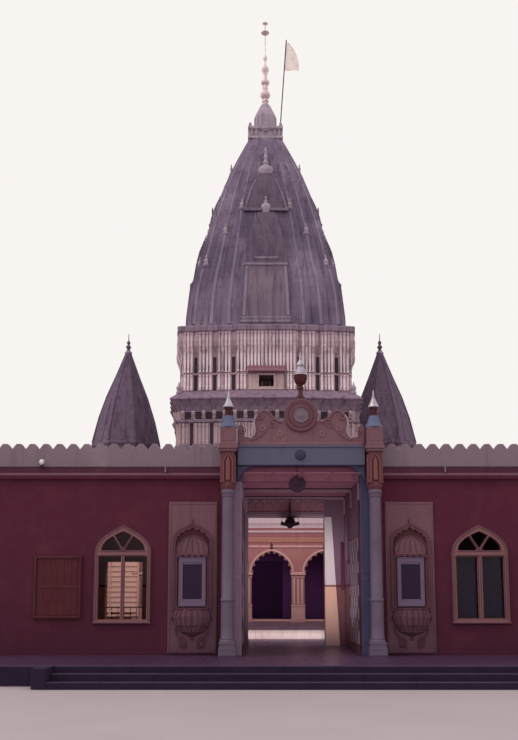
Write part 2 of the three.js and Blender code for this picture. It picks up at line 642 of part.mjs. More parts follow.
// An urn on a short foot with a thin beaded tip, its height in proportion to its radius.
function faceFinial(distance, z, radius, tip) {
  return turned([
    [0, z - 40], [0.62 * radius, z - 40], [0.75 * radius, z + 0.6 * radius], [radius, z + 1.4 * radius],
    [radius, z + 1.75 * radius], [0.75 * radius, z + 2.15 * radius], [0.28 * radius, z + 2.45 * radius],
    [0.22 * radius, z + 3 * radius], [35, tip - 120], [20, tip], [0, tip],
  ], 10).translate(0, -distance, 0);
}

// The stacked half-spires on one face of the tower, drawn for the front face.
function faceSpire() {
  const shrine = faceBlock([[SPIRE_FOOT, 960, 3350], [13500, 910, 3310], [15030, 820, 3150]]);
  const crest = faceBlock([[15029, 420, 3130], [15250, 420, 3100]]);
  const lower = faceBlock([[14900, 700, 3120], [15900, 690, 2960], [16500, 620, 2830], [17380, 330, 2550]]);
  const upper = faceBlock([
    [17500, 900, 2370], [18000, 780, 2285], [18550, 640, 2130], [19100, 430, 1940], [19450, 260, 1790],
  ]);
  const finials = [faceFinial(2310, 17380, 200, 18770), faceFinial(1500, 19165, 320, 20770)];
  return [shrine, crest, lower, upper, ...finials];
}

function buildSpire() {
  add('shikhara', join(spireLoft()), 'stone');
  const body = toSolid(spireLoft(GAP));
  const faces = [['front', 0], ['right', 1], ['rear', 2], ['left', 3]];
  for (const [name, quarter] of faces) {
    const pieces = faceSpire().map((piece) => piece.rotateZ(quarter * Math.PI / 2).translate(TOWER_X, TOWER_Y, 0));
    const whole = pieces.map(toSolid).reduce((sum, piece) => sum.add(piece));
    add(`face_spire_${name}`, toGeometry(whole.subtract(body)), 'stone');
  }
  const collar = faceted([
    [0, SPIRE_TOP], [760, SPIRE_TOP], [760, SPIRE_TOP + 110], [640, SPIRE_TOP + 150], [640, COLLAR_TOP - 170],
    [760, COLLAR_TOP - 120], [760, COLLAR_TOP], [0, COLLAR_TOP],
  ], 4);
  const dome = faceted([
    [0, COLLAR_TOP - 100], [480, COLLAR_TOP - 100], [480, NECK_TOP - 670], [400, NECK_TOP - 480],
    [310, NECK_TOP - 290], [220, NECK_TOP - 100], [150, NECK_TOP], [0, NECK_TOP],
  ], 16);
  const neck = join(collar, dome).translate(TOWER_X, TOWER_Y, 0);
  add('spire_neck', neck, 'stone');
  const z = NECK_TOP + GAP;
  const kalash = turned([
    [0, z], [140, z], [140, z + 160], [100, z + 220], [115, z + 310], [215, z + 400], [220, z + 520],
    [130, z + 680], [110, z + 900], [190, z + 1030], [190, z + 1140], [80, z + 1280], [80, z + 1500],
    [165, z + 1620], [165, z + 1740], [70, z + 1880], [30, z + 2060], [90, z + 2180], [90, z + 2320],
    [24, z + 2440], [24, z + 3400], [190, z + 3440], [190, z + 3520], [24, z + 3570], [24, z + 3880],
    [125, z + 3915], [125, z + 3965], [0, z + 4010],
  ], 14).translate(TOWER_X, TOWER_Y, 0);
  add('kalash', kalash, 'gold', 0.4, 0.5);
}

function buildFlag() {
  const foot = new THREE.Vector3(TOWER_X + 640, TOWER_Y, COLLAR_TOP);
  const head = new THREE.Vector3(TOWER_X + 950, TOWER_Y, 26730);
  const length = foot.distanceTo(head);
  const lean = Math.atan2(head.x - foot.x, head.z - foot.z);
  const pole = new THREE.CylinderGeometry(FLAG.poleRadius, FLAG.poleRadius, length, 12).rotateX(Math.PI / 2);
  pole.translate(0, 0, length / 2).rotateY(lean).translate(foot.x, foot.y, foot.z + 6);
  const socket = turned([[0, 0], [60, 0], [60, 160], [0, 160]], 10).translate(foot.x, foot.y, foot.z + GAP);
  add('flag_pole', join(pole, socket), 'dark', 0.5, 0.5);
  const cloth = new THREE.Shape();
  const [z0, z1] = [FLAG.bottom, FLAG.top];
  const hoist = (z) => foot.x + (z - foot.z) * Math.tan(lean) + FLAG.poleRadius / Math.cos(lean) + GAP;
  cloth.moveTo(hoist(z0), z0);
  cloth.lineTo(hoist(z0) + FLAG.width, z0 + 40);
  cloth.quadraticCurveTo(hoist(z0) + FLAG.width, z0 + 900, hoist(z1), z1);
  cloth.closePath();
  add('flag', upright(cloth, TOWER_Y - 6, TOWER_Y + 6, 8), 'cloth', 0.95);
}

function buildSideSpires() {
  for (const [name, x] of [['left', -7020], ['right', 4400]]) {
    const spire = faceted([
      [0, SHRINE_ROOF_TOP], [1400, SHRINE_ROOF_TOP], [1400, 8380], [1460, 8450], [1460, 8520], [1420, 8620],
      [1170, 9770], [870, 10770], [490, 11770], [100, 12870], [100, 12960], [45, 13000], [120, 13120],
      [45, 13240], [85, 13340], [20, 13440], [12, 13760], [0, 13760],
    ], 8).translate(x, 15500, 0);
    add(`side_spire_${name}`, spire, 'stone');
  }
}

buildTerrace();
buildRangeWalls();
buildRangeRoof();
buildRangeParapets();
buildWindows();
buildNichesAndBoards();
buildColumns();
buildGateFrame();
buildPediment();
buildHangings();
buildShrineBody();
buildTowerBase();
buildSpire();
buildFlag();
buildSideSpires();

export default temple;
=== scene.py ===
"""Looks of a north Indian temple: painted gateway range, courtyard shrine and weathered stone tower."""

import logging
import math
from contextlib import contextmanager
from dataclasses import dataclass, field
from enum import Enum
from itertools import pairwise
from typing import Callable, Iterator, Sequence

import bmesh
import bpy
from mathutils import Matrix, Vector
from mathutils.bvhtree import BVHTree


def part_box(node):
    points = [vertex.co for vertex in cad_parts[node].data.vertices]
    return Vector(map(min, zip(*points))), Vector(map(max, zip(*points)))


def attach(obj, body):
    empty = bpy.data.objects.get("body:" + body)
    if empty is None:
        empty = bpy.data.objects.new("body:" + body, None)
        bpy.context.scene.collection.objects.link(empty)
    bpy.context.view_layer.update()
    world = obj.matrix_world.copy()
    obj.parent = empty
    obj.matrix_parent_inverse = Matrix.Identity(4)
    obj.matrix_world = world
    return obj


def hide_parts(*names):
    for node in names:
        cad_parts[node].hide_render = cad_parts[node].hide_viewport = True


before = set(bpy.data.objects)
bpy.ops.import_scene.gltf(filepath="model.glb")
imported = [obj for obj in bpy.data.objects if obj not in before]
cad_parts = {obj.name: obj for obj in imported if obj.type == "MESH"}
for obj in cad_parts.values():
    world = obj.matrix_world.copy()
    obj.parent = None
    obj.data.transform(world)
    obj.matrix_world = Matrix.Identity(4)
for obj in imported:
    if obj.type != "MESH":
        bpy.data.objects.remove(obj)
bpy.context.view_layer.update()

LOG = logging.getLogger("temple")
Triple = tuple[float, float, float]
Pair = tuple[float, float]
Four = tuple[float, float, float, float]
Line = Sequence[Pair]
Piece = bpy.types.Object
BODY = "root"
IDENTITY = Matrix.Identity(4)
MIRROR = Matrix.Scale(-1, 4, (1, 0, 0))
UPRIGHT = Matrix.Rotation(math.pi / 2, 4, "X")
SIDES = ((-1, "left"), (1, "right"))


class Slot(Enum):
    """The record's material slots."""

    STONE = "weathered_stone"
    PLASTER = "lime_plaster"
    RED = "red_limewash"
    PINK = "pink_limewash"
    LILAC = "lilac_limewash"
    CREAM = "cream_paint"
    BLUE = "blue_paint"
    ORANGE = "orange_paint"
    WOOD = "old_wood"
    BRONZE = "dark_bronze"
    GILT = "gilt_brass"
    CLOTH = "flag_cloth"
    GLASS = "window_glass"


def linear(colour: Triple) -> Triple:
    """Turns an 8-bit display colour into linear light."""
    values = (c / 255 for c in colour)
    return tuple(c / 12.92 if c <= 0.04045 else ((c + 0.055) / 1.055) ** 2.4 for c in values)


class Wire:
    """A shader value; arithmetic on it adds the Math nodes."""

    def __init__(self, graph: "Graph", socket: bpy.types.NodeSocket) -> None:
        """Wraps one output socket of a graph."""
        self.graph = graph
        self.socket = socket

    def _math(self, operation: str, *values: "Wire | float") -> "Wire":
        """Adds one Math node over the given values."""
        return self.graph.node("ShaderNodeMath", {"operation": operation}, dict(enumerate(values)))

    def __add__(self, other: "Wire | float") -> "Wire":
        """Adds."""
        return self._math("ADD", self, other)

    __radd__ = __add__

    def __sub__(self, other: "Wire | float") -> "Wire":
        """Subtracts."""
        return self._math("SUBTRACT", self, other)

    def __rsub__(self, other: "Wire | float") -> "Wire":
        """Subtracts from a number."""
        return self._math("SUBTRACT", other, self)

    def __mul__(self, other: "Wire | float") -> "Wire":
        """Multiplies."""
        return self._math("MULTIPLY", self, other)

    __rmul__ = __mul__

    def ramp(self, low: float, high: float, out_low: float = 0.0, out_high: float = 1.0) -> "Wire":
        """Maps a range smoothly onto another one, clamped.

        Args:
            low: Start of the range.
            high: Its end.
            out_low: Result at the start.
            out_high: Result at the end.

        Returns:
            The mapped value.
        """
        settings = {"interpolation_type": "SMOOTHSTEP"}
        return self.graph.node(
            "ShaderNodeMapRange", settings, {0: self, 1: low, 2: high, 3: out_low, 4: out_high},
        )


class Graph:
    """The node tree of one material."""

    def __init__(self, name: str) -> None:
        """Starts an empty material of that name.

        Args:
            name: The material's name.
        """
        self.material = bpy.data.materials.new(name)
        self.material.use_nodes = True
        self.tree = self.material.node_tree
        self.tree.nodes.clear()

    def node(
        self, kind: str, settings: dict | None = None, inputs: dict | None = None, output: int | str = 0,
    ) -> Wire:
        """Adds any node: settings first, then the values or links of its sockets.

        Args:
            kind: Blender's node type.
            settings: The node's attributes.
            inputs: Values or wires by socket name or number.
            output: Socket to hand back.

        Returns:
            That output.
        """
        made = self.tree.nodes.new(kind)
        for name, value in (settings or {}).items():
            setattr(made, name, value)
        for name, value in (inputs or {}).items():
            if isinstance(value, Wire):
                self.tree.links.new(value.socket, made.inputs[name])
            elif isinstance(value, tuple) and made.inputs[name].type == "RGBA":
                made.inputs[name].default_value = (*value[:3], 1.0)
            else:
                made.inputs[name].default_value = value
        return Wire(self, made.outputs[output])

    def place(self, stretch: Triple = (1.0, 1.0, 1.0)) -> Wire:
        """Object coordinates in metres, stretched for long or flat patterns."""
        at = self.node("ShaderNodeTexCoord", output="Object")
        return self.node("ShaderNodeMapping", {"vector_type": "POINT"}, {"Vector": at, "Scale": stretch})

    def height(self) -> Wire:
        """Height above the ground in metres."""
        return self.node("ShaderNodeSeparateXYZ", inputs={0: self.place()}, output="Z")

    def noise(
        self, scale: float, detail: float = 5.0, stretch: Triple = (1.0, 1.0, 1.0), rough: float = 0.6,
    ) -> Wire:
        """Cloudy noise, 0 to 1."""
        inputs = {"Vector": self.place(stretch), "Scale": scale, "Detail": detail, "Roughness": rough}
        return self.node("ShaderNodeTexNoise", inputs=inputs)

    def cells(self, scale: float, stretch: Triple = (1.0, 1.0, 1.0), feature: str = "F1") -> Wire:
        """Distance inside rounded cells."""
        settings = {"feature": feature}
        return self.node(
            "ShaderNodeTexVoronoi", settings, {"Vector": self.place(stretch), "Scale": scale}, "Distance",
        )

    def blend(
        self, under: "Wire | Triple", over: "Wire | Triple", amount: "Wire | float", mode: str = "MIX",
    ) -> Wire:
        """Lays one colour over another.

        Args:
            under: Colour below, a wire or a display colour.
            over: Colour above, the same.
            amount: How much of the upper colour shows.
            mode: Blender's blend type.

        Returns:
            The mixed colour.
        """
        under, over = (c if isinstance(c, Wire) else linear(c) for c in (under, over))
        settings = {"data_type": "RGBA", "blend_type": mode, "clamp_factor": True}
        return self.node("ShaderNodeMix", settings, {0: amount, 6: under, 7: over}, 2)

    def surface(
        self, colour: Wire, rough: "Wire | float", relief: Wire, depth: float, **fixed: float,
    ) -> None:
        """Ends the material in a Principled shader.

        Args:
            colour: Base colour.
            rough: Roughness.
            relief: Height for the bump.
            depth: Bump depth in metres.
            **fixed: Constant sockets, with underscores for spaces.
        """
        normal = self.node("ShaderNodeBump", inputs={"Strength": 1.0, "Distance": depth, "Height": relief})
        inputs = {"Base Color": colour, "Roughness": rough, "Normal": normal}
        inputs.update({name.replace("_", " "): value for name, value in fixed.items()})
        shader = self.node("ShaderNodeBsdfPrincipled", inputs=inputs)
        end = self.tree.nodes.new("ShaderNodeOutputMaterial")
        self.tree.links.new(shader.socket, end.inputs["Surface"])


@dataclass(frozen=True)
class Finish:
    """A finish: its name, slot and how its material is made."""

    name: str
    slot: Slot

    def material(self) -> bpy.types.Material:
        """The finish's material, made once."""
        return bpy.data.materials.get(self.name) or self.make()

    def make(self) -> bpy.types.Material:
        """Builds the material."""
        raise NotImplementedError


@dataclass(frozen=True)
class AgedStone(Finish):
    """Old lime-coated stone with sooty runs, broad painted shade, lichen and pale bare patches."""

    colour: Triple
    pale: Triple
    soot_and_shade: Triple
    runs: float = 0.6
    shade: float = 0.0
    head: float | None = None

    def make(self) -> bpy.types.Material:
        """Layers pale patches, sooty rain runs, broad clouds of painted shade, drips from above and lichen
        over tooled stone.

        Returns:
            The material.
        """
        g = Graph(self.name)
        broad = g.noise(0.55, 6)
        patches = g.noise(2.3, 8, rough=0.7)
        colour = g.blend(self.colour, self.pale, broad.ramp(0.5, 0.78) * 0.55)
        colour = g.blend(colour, self.pale, patches.ramp(0.58, 0.72) * 0.6)
        run = g.noise(1.0, 7, (5.0, 5.0, 0.22), 0.7)
        narrow = g.noise(1.0, 6, (13.0, 13.0, 0.5), 0.65)
        colour = g.blend(colour, self.soot_and_shade, run.ramp(0.46, 0.66) * self.runs)
        colour = g.blend(colour, self.soot_and_shade, narrow.ramp(0.52, 0.7) * self.runs * 0.7)
        # Broad dark clouds blended in here are painted shade.
        if self.shade:
            colour = g.blend(colour, self.soot_and_shade, g.noise(0.33, 3, rough=0.5).ramp(0.47, 0.6) * self.shade)
        if self.head is not None:
            drip = (g.height() + narrow * 0.9).ramp(self.head - 0.45, self.head + 0.55)
            colour = g.blend(colour, self.soot_and_shade, drip * 0.55)
        lichen = g.cells(7.0).ramp(0.32, 0.12) * patches.ramp(0.5, 0.62)
        colour = g.blend(colour, (150, 146, 138), lichen * 0.35)
        grain = g.noise(26.0, 6, rough=0.75)
        colour = g.blend(colour, (40, 32, 42), grain.ramp(0.62, 0.8) * 0.4)
        relief = grain * 0.35 + patches * 0.8 + run * 0.3
        rough = patches.ramp(0.3, 0.7, 0.78, 0.95)
        g.surface(colour, rough, relief, 0.015, Specular_IOR_Level=0.3)
        return g.material


@dataclass(frozen=True)
class Limewash(Finish):
    """Limewash on a plastered wall, thinned in patches, grimed at foot and top."""

    colour: Triple
    faded: Triple
    grime: Triple
    foot: float = 0.435
    runs: float = 0.35
    low_band: Triple | None = None
    low_band_top: float = 2.2
    line: Triple | None = None

    def make(self) -> bpy.types.Material:
        """Layers faded patches, stains, runs, a painted low band and trowel marks; on the court plinth the
        low band is a pale band of painted sunlight.

        Returns:
            The material.
        """
        g = Graph(self.name)
        z = g.height()
        broad = g.noise(0.8, 6)
        blotch = g.noise(3.4, 8, rough=0.68)
        base = self.colour if self.low_band is None else g.blend(
            self.low_band, self.colour, z.ramp(self.low_band_top - 0.004, self.low_band_top + 0.004),
        )
        colour = g.blend(
            base, self.faded, broad.ramp(0.48, 0.75) * 0.5, "MIX" if self.low_band is None else "SOFT_LIGHT",
        )
        colour = g.blend(colour, self.faded, blotch.ramp(0.6, 0.74) * 0.3)
        if self.line is not None:
            band = z - (self.low_band_top + 0.03)
            colour = g.blend(colour, self.line, (band * band).ramp(0.0012, 0.0009))
        run = g.noise(1.0, 7, (6.0, 6.0, 0.3), 0.7)
        colour = g.blend(colour, self.grime, run.ramp(0.5, 0.72) * self.runs)
        colour = g.blend(colour, self.grime, (z - self.foot).ramp(3.9, 0.2) * 0.5)
        wet = (z - self.foot + broad * 0.5).ramp(0.75, 0.25)
        colour = g.blend(colour, self.grime, wet * 0.55)
        chips = g.cells(4.2).ramp(0.16, 0.1) * blotch.ramp(0.57, 0.6)
        colour = g.blend(colour, self.faded, chips * 0.7)
        grain = g.noise(38.0, 5, rough=0.7)
        relief = blotch * 0.7 + grain * 0.25 - chips * 0.6 + broad * 0.8
        g.surface(colour, blotch.ramp(0.3, 0.7, 0.75, 0.95), relief, 0.01, Specular_IOR_Level=0.25)
        return g.material


@dataclass(frozen=True)
class Enamel(Finish):
    """Thick brushed paint, chipped to an under colour, dusty in its hollows."""

    colour: Triple
    under: Triple
    dust: Triple
    gloss: float = 0.42
    metal: float = 0.0

    def make(self) -> bpy.types.Material:
        """Layers brush marks, chips and dust.

        Returns:
            The material.
        """
        g = Graph(self.name)
        broad = g.noise(1.7, 6)
        brush = g.noise(1.0, 5, (30.0, 30.0, 4.0))
        chips = g.noise(9.0, 8, rough=0.75).ramp(0.62, 0.66)
        colour = g.blend(self.colour, self.dust, broad.ramp(0.45, 0.75) * 0.5)
        colour = g.blend(colour, self.dust, brush.ramp(0.5, 0.7) * 0.25)
        colour = g.blend(colour, self.under, chips * 0.8)
        run = g.noise(1.0, 6, (14.0, 14.0, 0.8), 0.7)
        colour = g.blend(colour, (46, 32, 44), run.ramp(0.58, 0.78) * 0.35)
        rough = broad * 0.3 + chips * 0.3 + self.gloss
        g.surface(
            colour, rough, brush * 0.3 - chips * 0.5, 0.002, Metallic=self.metal, Specular_IOR_Level=0.25,
        )
        return g.material


@dataclass(frozen=True)
class Timber(Finish):
    """Old stained wood with grain, cracks and rubbed edges."""

    colour: Triple
    dark: Triple

    def make(self) -> bpy.types.Material:
        """Layers long grain and worn patches.

        Returns:
            The material.
        """
        g = Graph(self.name)
        grain = g.noise(1.0, 8, (38.0, 38.0, 2.2), 0.7)
        wear = g.noise(3.0, 6)
        colour = g.blend(self.dark, self.colour, grain.ramp(0.35, 0.65))
        colour = g.blend(colour, self.dark, wear.ramp(0.55, 0.75) * 0.5)
        g.surface(colour, wear.ramp(0.3, 0.7, 0.6, 0.8), grain, 0.003, Specular_IOR_Level=0.25)
        return g.material


@dataclass(frozen=True)
class AgedMetal(Finish):
    """Cast or beaten metal, tarnished in patches."""

    colour: Triple
    tarnish: Triple
    amount: float = 0.5
    shine: float = 0.35
    metal: float = 0.6

    def make(self) -> bpy.types.Material:
        """Layers tarnish over bright metal.

        Returns:
            The material.
        """
        g = Graph(self.name)
        patch = g.noise(5.0, 7, rough=0.7)
        dull = patch.ramp(0.35, 0.65) * self.amount
        colour = g.blend(self.colour, self.tarnish, dull)
        beaten = g.cells(18.0)
        g.surface(colour, dull * 0.4 + self.shine, beaten * 0.5 + patch * 0.5, 0.003, Metallic=self.metal)
        return g.material


@dataclass(frozen=True)
class Paving(Finish):
    """Stone slabs with worn middles, dark joints and a dusty polish."""

    colour: Triple
    pale: Triple
    joint: Triple
    slab: float = 0.75
    shine: float = 0.35

    def make(self) -> bpy.types.Material:
        """Lays slabs in the floor's own plane.

        Returns:
            The material.
        """
        g = Graph(self.name)
        settings = {"offset": 0.5, "squash": 1.0}
        inputs = {
            "Vector": g.place(), "Scale": 1.0, "Mortar Size": 0.006, "Mortar Smooth": 0.2,
            "Brick Width": self.slab, "Row Height": self.slab * 0.8, "Color1": (0.35, 0.35, 0.35),
            "Color2": (0.75, 0.75, 0.75), "Mortar": (0, 0, 0),
        }
        tone = g.node("ShaderNodeTexBrick", settings, inputs, "Color")
        joint = g.node("ShaderNodeTexBrick", settings, inputs, "Fac")
        value = g.node("ShaderNodeSeparateColor", inputs={0: tone})
        broad = g.noise(0.7, 6)
        dirt = g.noise(5.0, 8, rough=0.7)
        colour = g.blend(self.colour, self.pale, value * 0.5 + broad.ramp(0.4, 0.7) * 0.4)
        colour = g.blend(colour, self.joint, dirt.ramp(0.55, 0.75) * 0.45)
        colour = g.blend(colour, self.joint, joint * 0.85)
        rough = dirt * 0.35 + joint * 0.3 + self.shine
        g.surface(colour, rough, dirt * 0.25 - joint, 0.006, Specular_IOR_Level=0.3)
        return g.material


@dataclass(frozen=True)
class FlagCloth(Finish):
    """Thin sun-bleached cotton with a plain weave."""

    colour: Triple

    def make(self) -> bpy.types.Material:
        """Weaves threads both ways and fades the fly.

        Returns:
            The material.
        """
        g = Graph(self.name)
        warp = g.node("ShaderNodeTexWave", {"bands_direction": "X"}, {"Vector": g.place(), "Scale": 60.0})
        weft = g.node("ShaderNodeTexWave", {"bands_direction": "Z"}, {"Vector": g.place(), "Scale": 60.0})
        stain = g.noise(3.0, 6)
        colour = g.blend(self.colour, (204, 176, 172), stain.ramp(0.45, 0.75) * 0.6)
        g.surface(colour, 0.9, warp * 0.5 + weft * 0.5, 0.0004)
        return g.material


@dataclass(frozen=True)
class DarkGlass(Finish):
    """Dusty window glass, streaked by rain."""

    colour: Triple

    def make(self) -> bpy.types.Material:
        """Clouds dark glass with dust.

        Returns:
            The material.
        """
        g = Graph(self.name)
        dust = g.noise(4.0, 7, (1.0, 1.0, 0.5))
        colour = g.blend(self.colour, (58, 44, 62), dust.ramp(0.5, 0.8) * 0.5)
        g.surface(colour, dust.ramp(0.4, 0.7, 0.12, 0.4), dust, 0.001, Alpha=0.96, Specular_IOR_Level=0.2)
        return g.material


@contextmanager
def editing(piece: Piece, whole: bool = True) -> Iterator[None]:
    """Opens one mesh in edit mode, all or nothing of it selected.

    Args:
        piece: The piece.
        whole: True to start with all selected.

    Yields:
        Nothing, while the mesh is open.
    """
    bpy.ops.object.select_all(action="DESELECT")
    bpy.context.view_layer.objects.active = piece
    piece.select_set(True)
    bpy.ops.object.mode_set(mode="EDIT")
    bpy.ops.mesh.select_mode(type="VERT")
    bpy.ops.mesh.select_all(action="SELECT" if whole else "DESELECT")
    yield
    bpy.ops.object.mode_set(mode="OBJECT")
    piece.select_set(False)


def pick_faces(piece: Piece, wanted: Callable[[bmesh.types.BMFace], bool]) -> None:
    """Selects the faces that pass a test.

    Args:
        piece: The mesh in edit mode.
        wanted: Test of a face.
    """
    bpy.ops.mesh.select_mode(type="FACE")
    bpy.ops.mesh.select_all(action="DESELECT")
    mesh = bmesh.from_edit_mesh(piece.data)
    for face in mesh.faces:
        face.select_set(wanted(face))
    bmesh.update_edit_mesh(piece.data)


def tidy_mesh(piece: Piece, gap: float = 1e-5) -> Piece:
    """Merges doubled points and turns all faces outwards.

    Args:
        piece: The piece.
        gap: Points closer than this are merged.

    Returns:
        The same piece.
    """
    with editing(piece):
        bpy.ops.mesh.remove_doubles(threshold=gap)
        bpy.ops.mesh.normals_make_consistent(inside=False)
    return piece


def added(operator: Callable, **settings: float) -> Piece:
    """Adds one of Blender's primitives, alone in the selection.

    Args:
        operator: The operator that adds it.
        **settings: The operator's settings.

    Returns:
        The new piece.
    """
    bpy.ops.object.select_all(action="DESELECT")
    operator(**settings)
    return bpy.context.object


def discard(*models: Piece) -> None:
    """Removes models that have been copied to their places."""
    for model in models:
        bpy.data.objects.remove(model)


def put(piece: Piece, place: Matrix) -> Piece:
    """Moves a piece by changing its mesh, so that its object stays at the origin.

    Args:
        piece: The piece.
        place: Where it goes.

    Returns:
        The same piece.
    """
    piece.data.transform(place)
    if place.determinant() < 0:
        piece.data.flip_normals()
    return piece


def softened(piece: Piece, width: float, segments: int = 2, angle: float = 30.0) -> Piece:
    """Rounds a piece's sharp edges.

    Args:
        piece: The piece.
        width: Width of the rounding in metres.
        segments: Steps across it.
        angle: Bends below it, in degrees, stay sharp.

    Returns:
        The same piece.
    """
    bpy.context.view_layer.objects.active = piece
    bevel = piece.modifiers.new("edges", "BEVEL")
    bevel.width = width
    bevel.segments = segments
    bevel.limit_method = "ANGLE"
    bevel.angle_limit = math.radians(angle)
    bpy.ops.object.modifier_apply(modifier=bevel.name)
    return piece


def smooth(piece: Piece, angle: float = 40.0) -> Piece:
    """Shades curved parts smoothly and keeps edges crisp.

    Args:
        piece: The piece.
        angle: Edges that bend by more degrees stay crisp.

    Returns:
        The same piece.
    """
    bpy.ops.object.select_all(action="DESELECT")
    bpy.context.view_layer.objects.active = piece
    piece.select_set(True)
    bpy.ops.object.shade_smooth_by_angle(angle=math.radians(angle))
    piece.select_set(False)
    return piece


def block(low: Triple, high: Triple, edge: float = 0.01, segments: int = 1) -> Piece:
    """A block between two corners with eased edges.

    Args:
        low: Lowest corner.
        high: Highest corner.
        edge: Width of the eased edge.
        segments: Steps across the edge.

    Returns:
        The new piece.
    """
    size = Vector(high) - Vector(low)
    piece = added(bpy.ops.mesh.primitive_cube_add, size=1)
    put(piece, Matrix.Translation((Vector(low) + Vector(high)) / 2) @ Matrix.Diagonal((*size, 1.0)))
    return softened(piece, edge, segments) if edge > 0 else piece


def chain(points: Sequence[Triple]) -> Piece:
    """A line of points, each pulled out of the one before.

    Args:
        points: The points in order.

    Returns:
        The new piece, made of edges only.
    """
    piece = added(bpy.ops.mesh.primitive_plane_add, size=0.01)
    with editing(piece):
        bpy.ops.mesh.merge(type="CENTER")
        bpy.ops.transform.translate(value=points[0])
        for a, b in pairwise(points):
            bpy.ops.mesh.extrude_region_move(TRANSFORM_OT_translate={"value": Vector(b) - Vector(a)})
    return piece


def turned(profile: Line, steps: int = 24, centre: Triple = (0, 0, 0)) -> Piece:
    """A piece turned about an upright axis.

    Args:
        profile: Radius and height pairs from bottom to top.
        steps: Sides round the axis.
        centre: Foot of the axis.

    Returns:
        The new piece.
    """
    piece = chain([(max(r, 0), 0, z) for r, z in profile])
    with editing(piece):
        bpy.ops.mesh.spin(steps=steps, angle=math.tau, center=(0, 0, 0), axis=(0, 0, 1))
    tidy_mesh(piece, 1e-4)
    return smooth(put(piece, Matrix.Translation(centre)))


def cut_out(outline: Line, near: float, far: float) -> Piece:
    """An upright plate from an outline in X and Z.

    Args:
        outline: X and Z pairs round the edge.
        near: Y of its front.
        far: Y of its back.

    Returns:
        The new piece.
    """
    piece = chain([(x, far, z) for x, z in outline])
    with editing(piece):
        mesh = bmesh.from_edit_mesh(piece.data)
        mesh.verts.ensure_lookup_table()
        bpy.ops.mesh.select_all(action="DESELECT")
        mesh.verts[0].select_set(True)
        mesh.verts[-1].select_set(True)
        bmesh.update_edit_mesh(piece.data)
        bpy.ops.mesh.edge_face_add()
        bpy.ops.mesh.select_all(action="SELECT")
        bpy.ops.mesh.edge_face_add()
        bpy.ops.mesh.extrude_region_move(TRANSFORM_OT_translate={"value": (0, near - far, 0)})
    return tidy_mesh(piece)


def ribbon(path: Line, width: float, near: float, far: float) -> Piece:
    """A raised band that follows a line in X and Z.

    Args:
        path: X and Z pairs along the middle of the band.
        width: Width of the band.
        near: Y of its front.
        far: Y of its back.

    Returns:
        The new piece.
    """
    points = [Vector(p) for p in path]
    sides: tuple[list[Pair], list[Pair]] = ([], [])
    for i, point in enumerate(points):
        along = points[min(i + 1, len(points) - 1)] - points[max(i - 1, 0)]
        across = Vector((-along.y, along.x)).normalized() * width / 2
        sides[0].append(tuple(point + across))
        sides[1].append(tuple(point - across))
    return cut_out(sides[0] + sides[1][::-1], near, far)


def twin(piece: Piece, place: Matrix) -> Piece:
    """A copy of a piece with its own mesh, moved by a matrix.

    Args:
        piece: The piece to copy.
        place: Where the copy goes.

    Returns:
        The copy.
    """
    copy = piece.copy()
    copy.data = piece.data.copy()
    bpy.context.collection.objects.link(copy)
    return put(copy, place)


def joined(pieces: Sequence[Piece]) -> Piece:
    """Joins pieces into the first one.

    Args:
        pieces: The pieces, at least one.

    Returns:
        The first of them.
    """
    bpy.ops.object.select_all(action="DESELECT")
    for piece in pieces:
        piece.select_set(True)
    bpy.context.view_layer.objects.active = pieces[0]
    if len(pieces) > 1:
        bpy.ops.object.join()
    pieces[0].select_set(False)
    return pieces[0]


def repeated(model: Piece, places: Sequence[Matrix]) -> Piece:
    """Copies a modelled piece to several places and joins the copies.

    Args:
        model: The piece to copy; it is used up.
        places: Where each copy goes.

    Returns:
        The joined copies.
    """
    copies = [twin(model, place) for place in places]
    discard(model)
    return joined(copies)


def from_node(node: str) -> Piece:
    """A merged, clean copy of a CAD node, to be worked on.

    Args:
        node: Name of the node.

    Returns:
        The copy.
    """
    copy = twin(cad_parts[node], IDENTITY)
    with editing(copy):
        bpy.ops.mesh.remove_doubles(threshold=1e-4)
        bpy.ops.mesh.dissolve_limited(angle_limit=math.radians(0.5))
        bpy.ops.mesh.faces_shade_flat()
        bpy.ops.mesh.customdata_custom_splitnormals_clear()
    return copy


def add(name: str, shape: Piece | Sequence[Piece], finish: Finish, *nodes: str) -> None:
    """Names a new piece, gives it its material and body, and hides what it stands for.

    Args:
        name: Its name.
        shape: The piece, or the pieces to join.
        finish: Its finish.
        *nodes: CAD nodes that it replaces.
    """
    piece = shape if isinstance(shape, Piece) else joined(shape)
    piece.name = name
    piece.data.materials.clear()
    piece.data.materials.append(finish.material())
    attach(piece, BODY)
    if nodes:
        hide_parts(*nodes)
    LOG.info("%s: %d faces", name, len(piece.data.polygons))


def add_eased(
    name: str, node: str, finish: Finish, width: float, segments: int = 2, angle: float = 30.0,
) -> None:
    """Adds a CAD node's own shape with softened edges in its place."""
    add(name, softened(from_node(node), width, segments, angle), finish, node)


def dress_node(node: str, finish: Finish) -> None:
    """Gives a CAD node that keeps its own shape a better material.

    Args:
        node: Name of the node.
        finish: Its finish.
    """
    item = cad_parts[node]
    item.data.materials.clear()
    item.data.materials.append(finish.material())
    LOG.info("%s keeps its shape", node)


def shifted(x: float = 0.0, y: float = 0.0, z: float = 0.0) -> Matrix:
    """A plain move."""
    return Matrix.Translation((x, y, z))


def quarter(turns: float) -> Matrix:
    """A turn about the vertical by quarters."""
    return Matrix.Rotation(turns * math.pi / 2, 4, "Z")


def spun(i: float, count: int) -> Matrix:
    """The turn about the vertical of one of several copies set in a circle."""
    return Matrix.Rotation(i * math.tau / count, 4, "Z")


